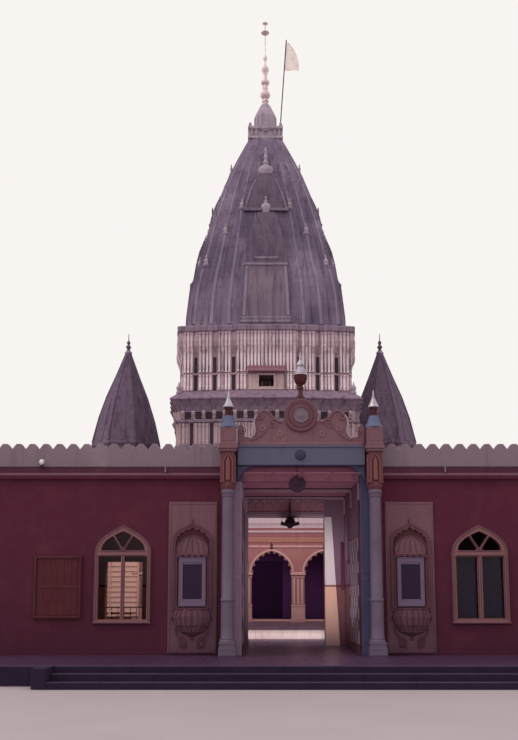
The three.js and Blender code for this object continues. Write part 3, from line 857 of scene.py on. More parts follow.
def arc(centre: Pair, radius: Pair, start: float, end: float, steps: int) -> list[Pair]:
    """Points along an arc.

    Args:
        centre: X and Z of its middle.
        radius: Half width and half height.
        start: First angle in degrees.
        end: Last angle in degrees.
        steps: Number of steps.

    Returns:
        X and Z pairs.
    """
    angles = (math.radians(start + (end - start) * i / steps) for i in range(steps + 1))
    return [(centre[0] + radius[0] * math.cos(a), centre[1] + radius[1] * math.sin(a)) for a in angles]


def jointed(piece: Piece, low: float, high: float, course: float, joint: float, depth: float) -> Piece:
    """Cuts level joints round a piece and sinks them.

    Args:
        piece: The piece, of stone courses.
        low: Height of the first joint.
        high: Height above which none is cut.
        course: Distance between joints.
        joint: Height of each joint.
        depth: How deep it lies.

    Returns:
        The same piece.
    """
    with editing(piece):
        z = low
        while z < high:
            for cut in (z, z + joint):
                bpy.ops.mesh.select_all(action="SELECT")
                bpy.ops.mesh.bisect(plane_co=(0, 0, cut), plane_no=(0, 0, 1))
            z += course

        def in_joint(face: bmesh.types.BMFace) -> bool:
            """True for the side faces that lie in a joint.

            Args:
                face: The face.

            Returns:
                Whether it is one of them.
            """
            heights = [vertex.co.z for vertex in face.verts]
            middle = (min(heights) + max(heights)) / 2
            if max(heights) - min(heights) >= joint * 1.05 or abs(face.normal.z) >= 0.8:
                return False
            return low < middle < high + joint and (middle - low) % course < joint

        pick_faces(piece, in_joint)
        bpy.ops.mesh.extrude_region_shrink_fatten(TRANSFORM_OT_shrink_fatten={"value": -depth})
    return piece


@dataclass(frozen=True)
class Arch:
    """A slightly pointed arch on straight jambs, drawn about X = 0."""

    half: float
    sill: float
    springing: float
    rise: float
    shoulder: float = 0.457
    haunch: Pair = (0.493, 0.762)

    def crown(self, grow: float = 0.0, steps: int = 9) -> list[Pair]:
        """The curved part from right to left, grown outwards.

        Args:
            grow: How far outside the arch's own line.
            steps: Steps on each side.

        Returns:
            X and Z pairs.
        """
        half, rise = self.half + grow, self.rise + grow
        foot, top = (half, self.springing), (0, self.springing + rise)
        shoulder = (half, self.springing + self.shoulder * rise)
        haunch = (self.haunch[0] * half, self.springing + self.haunch[1] * rise)
        right = bezier((foot, shoulder, haunch, top), steps)
        return [*right, *((-x, z) for x, z in right[-2::-1])]

    def path(self, grow: float = 0.0, steps: int = 9) -> list[Pair]:
        """The whole line from the right foot over the crown to the left foot."""
        curve = self.crown(grow, steps)
        return [(self.half + grow, self.sill), *curve, (-self.half - grow, self.sill)]

    def cusped(self, lobes: int, depth: float) -> list[Pair]:
        """The crown with lobes that meet in points.

        Args:
            lobes: Number of lobes.
            depth: How far the points reach in.

        Returns:
            X and Z pairs from right to left.
        """
        curve = self.crown(0, lobes * 2)
        last = len(curve) - 1
        middle = Vector((0, self.springing))
        line = []
        for i, point in enumerate(curve):
            inward = (middle - Vector(point)).normalized()
            reach = depth * (1.0 - abs(math.sin(math.pi * lobes * i / last)))
            line.append(tuple(Vector(point) + inward * reach))
        return line


def bezier(control: Line, steps: int) -> list[Pair]:
    """Points on a cubic curve.

    Args:
        control: Its four control points.
        steps: Number of steps.

    Returns:
        X and Z pairs.
    """
    line = []
    for i in range(steps + 1):
        t = i / steps
        weights = ((1 - t) ** 3, 3 * t * (1 - t) ** 2, 3 * t * t * (1 - t), t ** 3)
        line.append(tuple(sum(w * p[axis] for w, p in zip(weights, control)) for axis in (0, 1)))
    return line


def standing(profile: Line, width: float, edge: float = 0.0) -> Piece:
    """A strip on a wall that faces -Y, from out-from-wall and height pairs.

    Args:
        profile: Distance out and height pairs from foot to head.
        width: Width along the wall.
        edge: Width of its eased edges.

    Returns:
        The strip, its middle at X = 0 and the wall at Y = 0.
    """
    outline = [*profile, (-0.03, profile[-1][1]), (-0.03, profile[0][1])]
    strip = cut_out(outline, -width / 2, width / 2)
    put(strip, quarter(-1))
    return softened(strip, edge, 1) if edge > 0 else strip


def swept(points: Sequence[Triple], width: float, depth: float, end: float = 1.0) -> Piece:
    """A bar carried along a rising line, narrowing to its end.

    Args:
        points: The line's points from foot to head.
        width: Size along X.
        depth: Size along Y.
        end: Share of the size left at the head.

    Returns:
        The new piece.
    """
    piece = added(bpy.ops.mesh.primitive_plane_add, size=1)
    put(piece, Matrix.Translation(points[0]) @ Matrix.Diagonal((width, depth, 1.0, 1.0)))
    shrink = end ** (1 / (len(points) - 1))
    with editing(piece):
        for a, b in pairwise(points):
            bpy.ops.mesh.extrude_region_move(TRANSFORM_OT_translate={"value": Vector(b) - Vector(a)})
            bpy.ops.transform.resize(value=(shrink, shrink, 1.0))
    return tidy_mesh(piece)


def bars(low: Pair, high: Pair, width: float, near: float, far: float, edge: float = 0.006) -> Piece:
    """A rectangular frame of four bars in an upright plane.

    Args:
        low: Lower left outer corner, X and Z.
        high: Upper right outer corner, X and Z.
        width: Width of the bars.
        near: Y of the front.
        far: Y of the back.
        edge: Width of the eased edges.

    Returns:
        The joined frame.
    """
    (x0, z0), (x1, z1) = low, high
    sides = [
        block((x0, near, z0), (x0 + width, far, z1), edge),
        block((x1 - width, near, z0), (x1, far, z1), edge),
        block((x0 + width, near, z0), (x1 - width, far, z0 + width), edge),
        block((x0 + width, near, z1 - width), (x1 - width, far, z1), edge),
    ]
    return joined(sides)


def spiral(
    centre: Pair, outer: float, inner: float, turns: float, start: float, steps: int = 26,
) -> list[Pair]:
    """A scroll's line in X and Z.

    Args:
        centre: Its eye.
        outer: Radius at the start.
        inner: Radius at the eye.
        turns: Number of turns, negative to wind the other way.
        start: First angle in degrees.
        steps: Number of steps.

    Returns:
        X and Z pairs.
    """
    line = []
    for i in range(steps + 1):
        share = i / steps
        angle = math.radians(start) + turns * math.tau * share
        radius = outer + (inner - outer) * share ** 0.8
        line.append((centre[0] + radius * math.cos(angle), centre[1] + radius * math.sin(angle)))
    return line


class Skin:
    """The surface of CAD nodes, to set details against."""

    def __init__(self, *nodes: str) -> None:
        """Reads the nodes' meshes into one search tree.

        Args:
            *nodes: Names of the nodes.
        """
        mesh = bmesh.new()
        for node in nodes:
            mesh.from_mesh(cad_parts[node].data)
        self.tree = BVHTree.FromBMesh(mesh)
        mesh.free()

    def front(self, x: float, z: float, start: float = -30.0) -> float | None:
        """Y of the first surface met from the front, if any."""
        hit = self.tree.ray_cast(Vector((x, start, z)), Vector((0, 1, 0)))[0]
        return None if hit is None else hit.y


def side_matrix(side: int) -> Matrix:
    """Leaves a right-hand piece alone or mirrors it to the left."""
    return MIRROR if side < 0 else IDENTITY


def add_pair(
    name: str, shape: Piece | Sequence[Piece], finish: Finish, place: Callable[[int], Matrix] = side_matrix,
    node: str = "",
) -> None:
    """Adds a shape on the left and on the right.

    Args:
        name: Name of the two pieces, to which the side is added.
        shape: The piece or pieces to copy; they are used up.
        finish: Their finish.
        place: Gives the place of the copy on the side -1 or 1.
        node: First part of the CAD node's name that each replaces, if any.
    """
    model = shape if isinstance(shape, Piece) else joined(shape)
    for side, word in SIDES:
        add(f"{name}_{word}", twin(model, place(side)), finish, *([f"{node}_{word}"] if node else []))
    discard(model)


SPIRE_STONE = AgedStone("spire_stone", Slot.STONE, (126, 110, 132), (152, 138, 156), (72, 60, 86), shade=0.5)
# A paler copy of the spire stone for ribs, bands, posts and ridges: a painted highlight on the raised parts.
RIB_HIGHLIGHT_STONE = AgedStone(
    "rib_highlight_stone", Slot.STONE, (142, 126, 146), (166, 152, 167), (86, 72, 96), shade=0.3,
)
PANEL_STONE = AgedStone("panel_stone", Slot.STONE, (128, 109, 126), (146, 129, 143), (72, 57, 80), head=15.2)
CAP_STONE = AgedStone("cap_stone", Slot.STONE, (172, 156, 171), (206, 194, 203), (106, 90, 110), runs=0.4)
SPIRELET_STONE = AgedStone("spirelet_stone", Slot.STONE, (108, 89, 110), (124, 107, 126), (64, 50, 72))
EAVE_STONE = AgedStone("eave_stone", Slot.STONE, (140, 118, 138), (164, 145, 161), (78, 60, 82))
DRUM_PLASTER = AgedStone(
    "drum_plaster", Slot.PLASTER, (240, 218, 226), (248, 232, 236), (138, 112, 128), runs=0.75, head=12.05,
)
WINDOW_PLASTER = AgedStone(
    "window_plaster", Slot.PLASTER, (198, 170, 172), (212, 186, 184), (124, 96, 106), runs=0.45,
)
RECESS_PLASTER = AgedStone("recess_plaster", Slot.PLASTER, (180, 154, 162), (198, 174, 179), (112, 88, 101))
SLOT_SHADE = AgedStone("slot_shade", Slot.PLASTER, (66, 50, 66), (88, 71, 84), (38, 28, 40))
OLD_PLASTER = AgedStone(
    "old_plaster", Slot.PLASTER, (178, 154, 161), (198, 178, 181), (108, 84, 99), runs=0.5,
)
PANEL_PLASTER = AgedStone(
    "panel_plaster", Slot.PLASTER, (156, 134, 142), (180, 160, 164), (92, 70, 86), runs=0.5,
)
HOOD_PAINT = Limewash("hood_paint", Slot.RED, (138, 98, 110), (154, 116, 126), (96, 66, 80), foot=-9.0)
RED_WALL = Limewash("red_wall", Slot.RED, (85, 31, 52), (102, 46, 62), (66, 27, 48))
CORNICE_DARK = Limewash("cornice_dark", Slot.RED, (78, 38, 56), (96, 56, 70), (52, 26, 46), foot=-9.0)
PASSAGE_RED = Limewash("passage_red", Slot.RED, (156, 104, 116), (176, 128, 136), (104, 64, 80), foot=-9.0)
CEILING_ROSE = Limewash("ceiling_rose", Slot.RED, (143, 89, 108), (160, 110, 124), (98, 57, 76), foot=-9.0)
NICHE_RED = Limewash("niche_red", Slot.RED, (76, 40, 46), (94, 58, 61), (50, 24, 34), foot=-9.0)
SHRINE_RED = Limewash("shrine_red", Slot.RED, (138, 84, 88), (156, 108, 108), (98, 56, 64), foot=-9.0)
LEAF_RED = Enamel("leaf_red", Slot.RED, (78, 32, 38), (62, 34, 42), (74, 46, 54))
PINK_WALL = Limewash("pink_wall", Slot.PINK, (156, 102, 100), (171, 124, 120), (110, 69, 74), foot=0.99)
PINK_TRIM = Limewash("pink_trim", Slot.PINK, (172, 116, 106), (188, 140, 130), (122, 78, 76), foot=0.99)
COURT_TRIM = Limewash("court_trim", Slot.PINK, (190, 144, 142), (204, 166, 162), (136, 96, 98), foot=0.99)
SANCTUM_WALL = Limewash("sanctum_wall", Slot.PINK, (84, 42, 88), (96, 54, 96), (62, 32, 68), foot=0.99)
PASSAGE_WALL = Limewash(
    "passage_wall", Slot.PINK, (170, 138, 146), (190, 164, 168), (104, 72, 82), runs=0.3,
    low_band=(186, 122, 102), low_band_top=2.2, line=(96, 32, 42),
)
# A darker copy of the passage limewash and its low band: painted shade for the passage's side walls and the
# rear wall's right corner.
PASSAGE_SHADE = Limewash(
    "passage_shade", Slot.PINK, (114, 86, 103), (135, 109, 124), (74, 49, 66), runs=0.3, low_band=(116, 73, 74),
    low_band_top=2.2, line=(84, 30, 42),
)
JAMB_WALL = Limewash("jamb_wall", Slot.PINK, (150, 122, 138), (172, 148, 158), (96, 68, 82))
# A brightened copy of the passage limewash and its low band: painted sunlight on the rear pier.
SUNLIT_PIER_WHITE = Limewash(
    "sunlit_pier_white", Slot.PLASTER, (200, 184, 188), (212, 198, 201), (134, 112, 120), runs=0.2,
    low_band=(214, 160, 136), low_band_top=2.2, line=(120, 60, 62),
)
LILAC_WALL = Limewash(
    "lilac_wall", Slot.LILAC, (138, 119, 131), (158, 142, 150), (98, 78, 92), foot=3.6, runs=0.4,
)
# The pale low band at the plinth's foot is a streak of painted sunlight.
COURT_PLINTH_SUNLIT_FOOT = Limewash(
    "court_plinth_sunlit_foot", Slot.STONE, (108, 82, 94), (128, 102, 112), (80, 56, 70), foot=-9.0, runs=0.3,
    low_band=(196, 174, 174), low_band_top=0.74,
)
COURT_LILAC = Limewash("court_lilac", Slot.LILAC, (196, 172, 178), (212, 192, 195), (134, 104, 114), foot=3.0)
CORNICE_PALE = Limewash("cornice_pale", Slot.LILAC, (116, 80, 94), (134, 102, 114), (78, 50, 64), foot=-9.0)
CREAM_WALL = Limewash("cream_wall", Slot.CREAM, (116, 82, 91), (132, 100, 106), (80, 48, 64))
RELIEF_WALL = Limewash("relief_wall", Slot.CREAM, (100, 60, 73), (120, 81, 91), (66, 36, 52))
ARCHITRAVE_PAINT = Enamel("architrave_paint", Slot.CREAM, (92, 57, 76), (76, 46, 60), (84, 54, 70))
FRAME_WHITE = Enamel("frame_white", Slot.LILAC, (134, 90, 92), (106, 68, 76), (118, 80, 84))
NICHE_FRAME_WHITE = Enamel("niche_frame_white", Slot.LILAC, (112, 93, 119), (94, 74, 94), (102, 84, 108))
COLUMN_PAINT = Enamel("column_paint", Slot.LILAC, (106, 90, 112), (122, 108, 126), (88, 74, 94))
# A paler lilac for the left jamb than the blue of the right jamb.
PALE_LEFT_JAMB = Enamel("pale_left_jamb", Slot.LILAC, (138, 110, 134), (104, 72, 84), (122, 98, 118))
BLUE_PAINT = Enamel("gate_blue", Slot.BLUE, (72, 70, 102), (96, 86, 104), (66, 62, 88))
LINTEL_PAINT = Enamel("lintel_paint", Slot.BLUE, (90, 87, 113), (106, 99, 116), (80, 76, 99))
KIOSK_PAINT = Enamel("kiosk_paint", Slot.BLUE, (98, 106, 138), (132, 130, 154), (84, 82, 114), gloss=0.4)
ORANGE_PAINT = Enamel("capital_orange", Slot.ORANGE, (100, 58, 66), (82, 46, 56), (90, 58, 66), gloss=0.55)
LEAF_PAINT = Enamel("leaf_paint", Slot.ORANGE, (126, 76, 76), (92, 52, 60), (106, 70, 76), gloss=0.5)
PEDIMENT_PAINT = Limewash(
    "pediment_paint", Slot.ORANGE, (122, 86, 96), (138, 104, 111), (88, 60, 71), foot=-9.0,
)
PEDIMENT_RELIEF = Limewash(
    "pediment_relief", Slot.ORANGE, (128, 93, 102), (146, 113, 119), (88, 60, 71), foot=-9.0,
)
RING_PAINT = Limewash("ring_paint", Slot.ORANGE, (106, 70, 79), (124, 90, 95), (72, 44, 57), foot=-9.0)
LAMP_WHITE = Enamel("lamp_white", Slot.PLASTER, (236, 230, 228), (214, 206, 206), (224, 216, 216), gloss=0.2)
WHITE_TRIM = Enamel("white_trim", Slot.PLASTER, (116, 98, 112), (92, 72, 86), (102, 84, 98))
BOSS_PAINT = Enamel("boss_paint", Slot.BLUE, (58, 52, 78), (74, 68, 90), (52, 46, 66))
# Pale colour for the pediment's shoulder and horn edges: a painted highlight.
SHOULDER_HIGHLIGHT = Enamel("shoulder_highlight", Slot.PLASTER, (168, 146, 152), (128, 104, 114), (146, 122, 130), gloss=0.6)
MARBLE = Enamel("marble", Slot.PLASTER, (130, 112, 126), (106, 88, 100), (116, 98, 112), gloss=0.35)
DARK_MARBLE = Enamel("dark_marble", Slot.BLUE, (64, 46, 62), (84, 68, 82), (74, 56, 72), gloss=0.32)
BARE_PANE = Enamel("bare_pane", Slot.GLASS, (42, 22, 50), (50, 30, 56), (48, 28, 54), gloss=0.5)
SILVER = AgedMetal("silver_paint", Slot.BLUE, (186, 178, 190), (112, 98, 116), 0.55, 0.34)
OLD_BRONZE = AgedMetal("old_bronze", Slot.BRONZE, (48, 22, 42), (36, 16, 34), 0.85, 0.55, 0.1)
GONG_BRONZE = Enamel("gong_bronze", Slot.BRONZE, (56, 30, 52), (64, 40, 58), (58, 34, 54), gloss=0.6)
GILT = AgedMetal("gilt", Slot.GILT, (232, 211, 213), (190, 156, 164), 0.6, 0.42)
BOARD_WOOD = Timber("board_wood", Slot.WOOD, (88, 34, 42), (72, 27, 37))
BOARD_FRAME = Timber("board_frame", Slot.WOOD, (88, 38, 44), (72, 30, 38))
SHUTTER_WOOD = Timber("shutter_wood", Slot.WOOD, (214, 168, 156), (200, 152, 142))
SHUTTER_FRAME = Timber("shutter_frame", Slot.WOOD, (208, 162, 150), (190, 144, 134))
BLIND_WOOD = Timber("blind_wood", Slot.WOOD, (150, 108, 102), (118, 80, 78))
BLIND_FRAME = Timber("blind_frame", Slot.WOOD, (170, 126, 118), (138, 98, 94))
STEP_STONE = Paving("step_stone", Slot.STONE, (34, 19, 44), (46, 30, 56), (22, 12, 32), 1.1, 0.75)
# Pale nosing stone: a painted highlight along the step edges.
NOSING_HIGHLIGHT = Paving("nosing_highlight", Slot.STONE, (72, 56, 83), (90, 74, 99), (46, 34, 54), 1.6, 0.5)
TERRACE_STONE = Paving("terrace_stone", Slot.STONE, (64, 38, 68), (82, 57, 86), (40, 22, 46), 0.8, 0.2)
FLAG_COTTON = FlagCloth("flag_cotton", Slot.CLOTH, (246, 233, 231))
WINDOW_DARK = DarkGlass("window_dark", Slot.GLASS, (32, 19, 42))


@dataclass
class Studio:
    """Camera at the photograph's place, pale floor and soft light."""

    eye: Triple = (-1.09, -22.0, 1.94)
    pitch: float = 7.67
    focal_px: float = 850.0
    long_side_px: float = 740.0
    sensor: float = 36.0
    shift: float = 0.15
    floor: float = 260.0

    def build(self) -> None:
        """Adds the camera, the floor and the lights."""
        self.add_camera()
        self.add_floor()
        self.add_lights()

    def add_camera(self) -> None:
        """Adds the camera, looking along +Y and slightly up."""
        data = bpy.data.cameras.new("camera")
        data.sensor_fit = "AUTO"
        data.sensor_width = self.sensor
        data.lens = self.focal_px / self.long_side_px * self.sensor
        data.shift_y = self.shift
        data.clip_end = 500.0
        camera = bpy.data.objects.new("camera", data)
        camera.location = self.eye
        camera.rotation_euler = (math.radians(90.0 + self.pitch), 0, 0)
        bpy.context.collection.objects.link(camera)
        bpy.context.scene.camera = camera

    def add_floor(self) -> None:
        """Adds a wide pale floor just under the object."""
        plane = added(bpy.ops.mesh.primitive_plane_add, size=self.floor, location=(0, 0, -0.002))
        plane.name = "studio_floor"
        g = Graph("studio_floor")
        tone = g.blend((169, 153, 161), (183, 169, 175), g.noise(0.4, 3))
        g.surface(tone, 0.8, g.noise(20.0), 0.001)
        plane.data.materials.append(g.material)

    def add_lights(self) -> None:
        """Adds a pale even sky, a soft sun over the left shoulder and a court light."""
        bpy.context.scene.view_settings.view_transform = "Standard"
        world = bpy.data.worlds.new("studio")
        world.use_nodes = True
        back = world.node_tree.nodes["Background"]
        back.inputs["Color"].default_value = (*linear((254, 250, 247)), 1.0)
        back.inputs["Strength"].default_value = 0.95
        bpy.context.scene.world = world
        self.sun("key", 0.7, 12.0, (math.radians(40), 0, math.radians(-62)))
        self.panel("court_light", 112.0, (9.0, 2.0), (-0.6, 5.4, 4.7), (math.radians(50), 0, 0))
        self.panel("plinth_light", 4.0, (3.4, 0.12), (-0.3, 7.9, 0.58), (math.radians(75), 0, 0))
        self.panel("passage_light", 48.0, (2.2, 1.6), (0, 1.4, 1.2), (math.radians(165), 0, 0))
        self.panel("pier_light", 12.0, (0.3, 2.8), (1.05, 3.2, 2.4), (math.radians(90), 0, 0))
        self.panel("sanctum_light", 3.5, (3.0, 1.6), (-0.8, 9.1, 2.4), (math.radians(90), 0, 0))
        self.panel("inner_light", 16.0, (1.6, 1.6), (-0.8, 12.0, 2.4), (math.radians(90), 0, 0))
        self.panel("room_light", 5.0, (4.0, 2.0), (-4.6, 2.4, 4.7), (0, 0, 0))

    @staticmethod
    def sun(name: str, power: float, spread: float, turn: Triple) -> None:
        """Adds one soft distant light.

        Args:
            name: Name of the lamp.
            power: Its strength.
            spread: Its width in degrees.
            turn: Its turn.
        """
        data = bpy.data.lights.new(name, "SUN")
        data.energy = power
        data.angle = math.radians(spread)
        data.color = linear((255, 244, 236))
        lamp = bpy.data.objects.new(name, data)
        lamp.rotation_euler = turn
        bpy.context.collection.objects.link(lamp)

    @staticmethod
    def panel(name: str, power: float, size: Pair, place: Triple, turn: Triple) -> None:
        """Adds one broad soft light that the camera doesn't see.

        Args:
            name: Name of the lamp.
            power: Its power in watts.
            size: Its width and height.
            place: Its middle.
            turn: Its turn; unturned it shines straight down.
        """
        data = bpy.data.lights.new(name, "AREA")
        data.shape = "RECTANGLE"
        data.size, data.size_y = size
        data.energy = power
        lamp = bpy.data.objects.new(name, data)
        lamp.location, lamp.rotation_euler = place, turn
        lamp.visible_camera = False
        lamp.visible_glossy = False
        bpy.context.collection.objects.link(lamp)


@dataclass
class Terrace:
    """The terrace, its steps and cheeks, with pale nosings painted as highlights on the step edges."""

    nosing: float = 0.045
    nodes: tuple[str, ...] = ("middle_step", "lower_step", "step_cheek_left", "step_cheek_right")

    def build(self) -> None:
        """Eases the steps' edges, lays nosings and slabs, and covers the terrace's riser with painted shade.
        """
        dress_node("terrace", TERRACE_STONE)
        # The shrine plinth carries a pale band of painted sunlight at its foot.
        dress_node("shrine_plinth", COURT_PLINTH_SUNLIT_FOOT)
        for node in self.nodes:
            add_eased(f"{node}_stone", node, STEP_STONE, 0.012)
        add("step_nosings", [self.strip(node) for node in (*self.nodes[:2], "terrace")], NOSING_HIGHLIGHT)
        low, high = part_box("terrace")
        # The terrace's front is covered with the dark step stone as painted shade on the riser.
        riser = block((low[0] + 0.01, low[1] - 0.004, 0.02), (high[0] - 0.01, low[1], high[2] - 0.02), 0.002)
        add("terrace_riser_shade", riser, STEP_STONE)

    def strip(self, node: str) -> Piece:
        """One pale nosing along a step's front edge, its paleness a painted highlight."""
        (x0, y, _), (x1, _, top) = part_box(node)
        return block((x0 + 0.01, y + 0.004, top - 0.02), (x1 - 0.01, y + self.nosing, top + 0.004), 0.004)


@dataclass
class Range:
    """The red entrance range on both sides of the gateway."""

    window_x: float = 4.6
    window: Arch = Arch(0.67, 1.29, 3.05, 0.645)
    transom: Pair = (2.945, 3.09)
    niche_x: float = 2.8
    niche_half: float = 0.625
    niche_low: float = 0.48
    niche_high: float = 4.35
    niche_face: float = -0.045
    planks: int = 6
    cornice_face: float = -0.10
    roof_edge: float = 8.70
    roof_back: float = 4.60
    lamp_x: float = -6.71
    spouts: Pair = (-3.52, 3.75)
    rear_window: Four = (4.65, 5.78, 1.2, 2.97)

    def build(self) -> None:
        """Dresses the walls and models cornices, windows, niches and boards."""
        for node in ("front_wall_left", "front_wall_right", "end_wall_left", "end_wall_right"):
            dress_node(node, RED_WALL)
        dress_node("rear_wall", PASSAGE_WALL)
        dress_node("front_roof", RED_WALL)
        for _, name in SIDES:
            add_eased(f"parapet_{name}_skin", f"parapet_{name}", LILAC_WALL, 0.022)
        self.mouldings()
        self.fittings()
        self.windows()
        self.niches()
        self.boards()
        self.rear()

    def mouldings(self) -> None:
        """Runs the rolls, the dark band and the drip along the front, ends and back."""
        inner = 1.88
        length, depth = self.roof_edge - inner, self.roof_back - self.cornice_face
        middle, mid_y = (self.roof_edge + inner) / 2, (self.roof_back + self.cornice_face) / 2
        rows = (
            ("cornice_roll", [
                (0, 5.02), (0.014, 5.024), (0.03, 5.05), (0.03, 5.07), (0.014, 5.095), (0, 5.1),
            ], CORNICE_PALE),
            ("cornice_band", [(0, 5.105), (0.004, 5.105), (0.004, 5.235), (-0.07, 5.25)], CORNICE_DARK),
        )
        for name, profile, finish in rows:
            front = standing(profile, length)
            back = standing(profile, 2 * self.roof_edge)
            end = standing(profile, depth)
            pieces = []
            for side in (-1, 1):
                pieces.append(twin(front, shifted(side * middle, self.cornice_face)))
                pieces.append(twin(end, shifted(side * self.roof_edge, mid_y) @ quarter(side)))
            pieces.append(twin(back, shifted(0, self.roof_back) @ quarter(2)))
            discard(front, back, end)
            add(name, pieces, finish)
        drip = standing([(0, 4.9), (0.012, 4.904), (0.02, 4.92), (0.02, 4.948), (0, 4.949)], length - 0.11)
        places = [shifted(side * (middle - 0.05), 0) for side in (-1, 1)]
        add("wall_drips", repeated(drip, places), RED_WALL)

    def fittings(self) -> None:
        """Adds the rain spouts and one lamp on the cornice."""
        spout = turned([
            (0, 0), (0.02, 0), (0.03, 0), (0.03, 0.02), (0.024, 0.03), (0.022, 0.15), (0.014, 0.17),
            (0, 0.175),
        ], 16)
        places = [shifted(x, -0.145, 5.11) for x in self.spouts]
        add("rain_spouts", repeated(spout, places), WHITE_TRIM)
        holder = turned([(0, 0), (0.045, 0), (0.05, 0.02), (0.04, 0.055), (0.03, 0.075), (0, 0.08)], 16)
        add("cornice_lamp_holder", put(holder, shifted(self.lamp_x - 0.03, -0.15, 5.235)), OLD_BRONZE)
        bulb = turned([
            (0, 0), (0.028, 0.006), (0.05, 0.03), (0.068, 0.075), (0.06, 0.115), (0.034, 0.14), (0, 0.147),
        ], 20)
        add("cornice_bulb", put(bulb, shifted(self.lamp_x - 0.03, -0.15, 5.305)), LAMP_WHITE)

    def windows(self) -> None:
        """Adds glazing bars, sills and an outer bead to both windows, and sashes to the right one."""
        for name in ("left", "right"):
            add_eased(f"window_{name}_frame", f"window_{name}", FRAME_WHITE, 0.008)
        dress_node("window_glass_right", WINDOW_DARK)
        arch = self.window
        bead = ribbon(arch.path(0.047), 0.018, -0.062, -0.048)
        inner = ribbon(arch.path(-0.004), 0.016, -0.06, -0.048)
        foot = standing([(0.05, 1.225), (0.07, 1.228), (0.075, 1.245), (0.05, 1.26)], 1.5, 0.003)
        spokes = []
        for angle in (57, 123):
            turn = math.radians(angle)
            line = [(math.cos(turn) * r, self.transom[1] + math.sin(turn) * r) for r in (0.07, 0.44)]
            spokes.append(ribbon(line, 0.02, -0.06, -0.045))
        hub = cut_out(arc((0, self.transom[1] - 0.02), (0.085, 0.085), 0, 180, 10), -0.062, -0.045)
        rails = [
            block((-0.6, -0.06, z), (0.6, -0.045, z + 0.02), 0.005)
            for z in (self.transom[0] + 0.01, self.transom[1] - 0.035)
        ]
        post = block((-0.012, -0.06, 1.33), (0.012, -0.045, 2.94), 0.005)
        model = joined([bead, inner, foot, *spokes, hub, *rails, post])
        sashes = [bars((low, 1.335), (low + 0.582, 2.94), 0.022, 0, 0.03) for low in (-0.626, 0.044)]
        add("window_dressing_left", twin(model, shifted(-self.window_x)), ARCHITRAVE_PAINT)
        add("window_dressing", put(model, shifted(self.window_x)), ARCHITRAVE_PAINT)
        add("window_sashes", put(joined(sashes), shifted(self.window_x)), FRAME_WHITE)

    def niches(self) -> None:
        """Carves the tall cream panels: border, cusped canopy, frame, ribbed bowl and foot."""
        for name in ("left", "right"):
            add_eased(f"niche_{name}_plaster", f"niche_panel_{name}", CREAM_WALL, 0.008, 2, 25)
            add_eased(f"niche_{name}_surround", f"niche_frame_{name}", NICHE_FRAME_WHITE, 0.006)
        face, half = self.niche_face, self.niche_half
        border = bars(
            (-half + 0.03, self.niche_low + 0.03), (half - 0.03, self.niche_high - 0.03), 0.03, face - 0.012,
            face + 0.005, 0.006,
        )
        relief = joined([*self.canopy(face), *self.bowl(face)])
        inner = Arch(0.425, 1.63, 3.36, 0.33)
        back = cut_out([*inner.path(0), (0, 1.63)], face - 0.004, face + 0.004)
        pane = block((-0.24, face - 0.03, 1.795), (0.24, face - 0.018, 2.785), 0.004)
        beads = joined([
            bars((-0.34, 1.67), (0.34, 2.91), 0.028, face - 0.06, face - 0.045, 0.006),
            *(block((-0.24, face - 0.036, z), (0.24, face - 0.02, z + 0.055), 0.005) for z in (1.79, 2.735)),
        ])
        models = (
            ("niche_border", border, CREAM_WALL), ("niche_recess", back, NICHE_RED),
            ("niche_relief", relief, RELIEF_WALL), ("niche_pane", pane, BARE_PANE),
            ("niche_bead", beads, NICHE_FRAME_WHITE),
        )
        for title, model, finish in models:
            add_pair(title, model, finish, lambda side: shifted(side * self.niche_x))

    @staticmethod
    def canopy(face: float) -> list[Piece]:
        """Models the niche's arch, key, canopy with hanging lobes and side posts.

        Args:
            face: Y of the panel's face.

        Returns:
            The pieces about X = 0.
        """
        outer = Arch(0.475, 1.56, 3.39, 0.37)
        pieces = [ribbon(outer.path(0), 0.05, face - 0.055, face)]
        inner = Arch(0.425, 1.62, 3.36, 0.33)
        lobes = inner.cusped(7, 0.06)
        pieces.append(cut_out([*inner.crown(0.01), *reversed(lobes)], face - 0.045, face - 0.002))
        key = turned([(0, 0), (0.03, 0.01), (0.02, 0.04), (0.032, 0.07), (0.015, 0.11), (0, 0.16)], 12)
        pieces.append(put(key, shifted(0, face - 0.02, 3.77) @ Matrix.Diagonal((1, 0.6, 1, 1))))
        dome = [(-0.39, 3.0), (-0.4, 3.16), (-0.34, 3.32), (-0.2, 3.425), (0, 3.465)]
        dome += [(-x, z) for x, z in reversed(dome[:-1])]
        pieces.append(ribbon(dome, 0.028, face - 0.08, face - 0.05))
        for i in range(5):
            x = (i - 2) * 0.158
            lobe = arc((x, 3.0), (0.079, 0.085), 180, 360, 8)
            pieces.append(softened(cut_out(lobe, face - 0.085, face - 0.055), 0.008))
            line = [(x * 0.55, 3.4), (x * 0.85, 3.25), (x, 3.03)]
            pieces.append(ribbon(line, 0.016, face - 0.072, face - 0.055))
        for side in (-1, 1):
            x = side * 0.405
            for half, out, low, high, edge in (
                (0.022, 0.05, 1.66, 2.9, 0.01), (0.04, 0.065, 2.88, 2.97, 0.014),
                (0.04, 0.065, 1.6, 1.68, 0.014),
            ):
                pieces.append(block((x - half, face - out, low), (x + half, face, high), edge, 2))
        return pieces

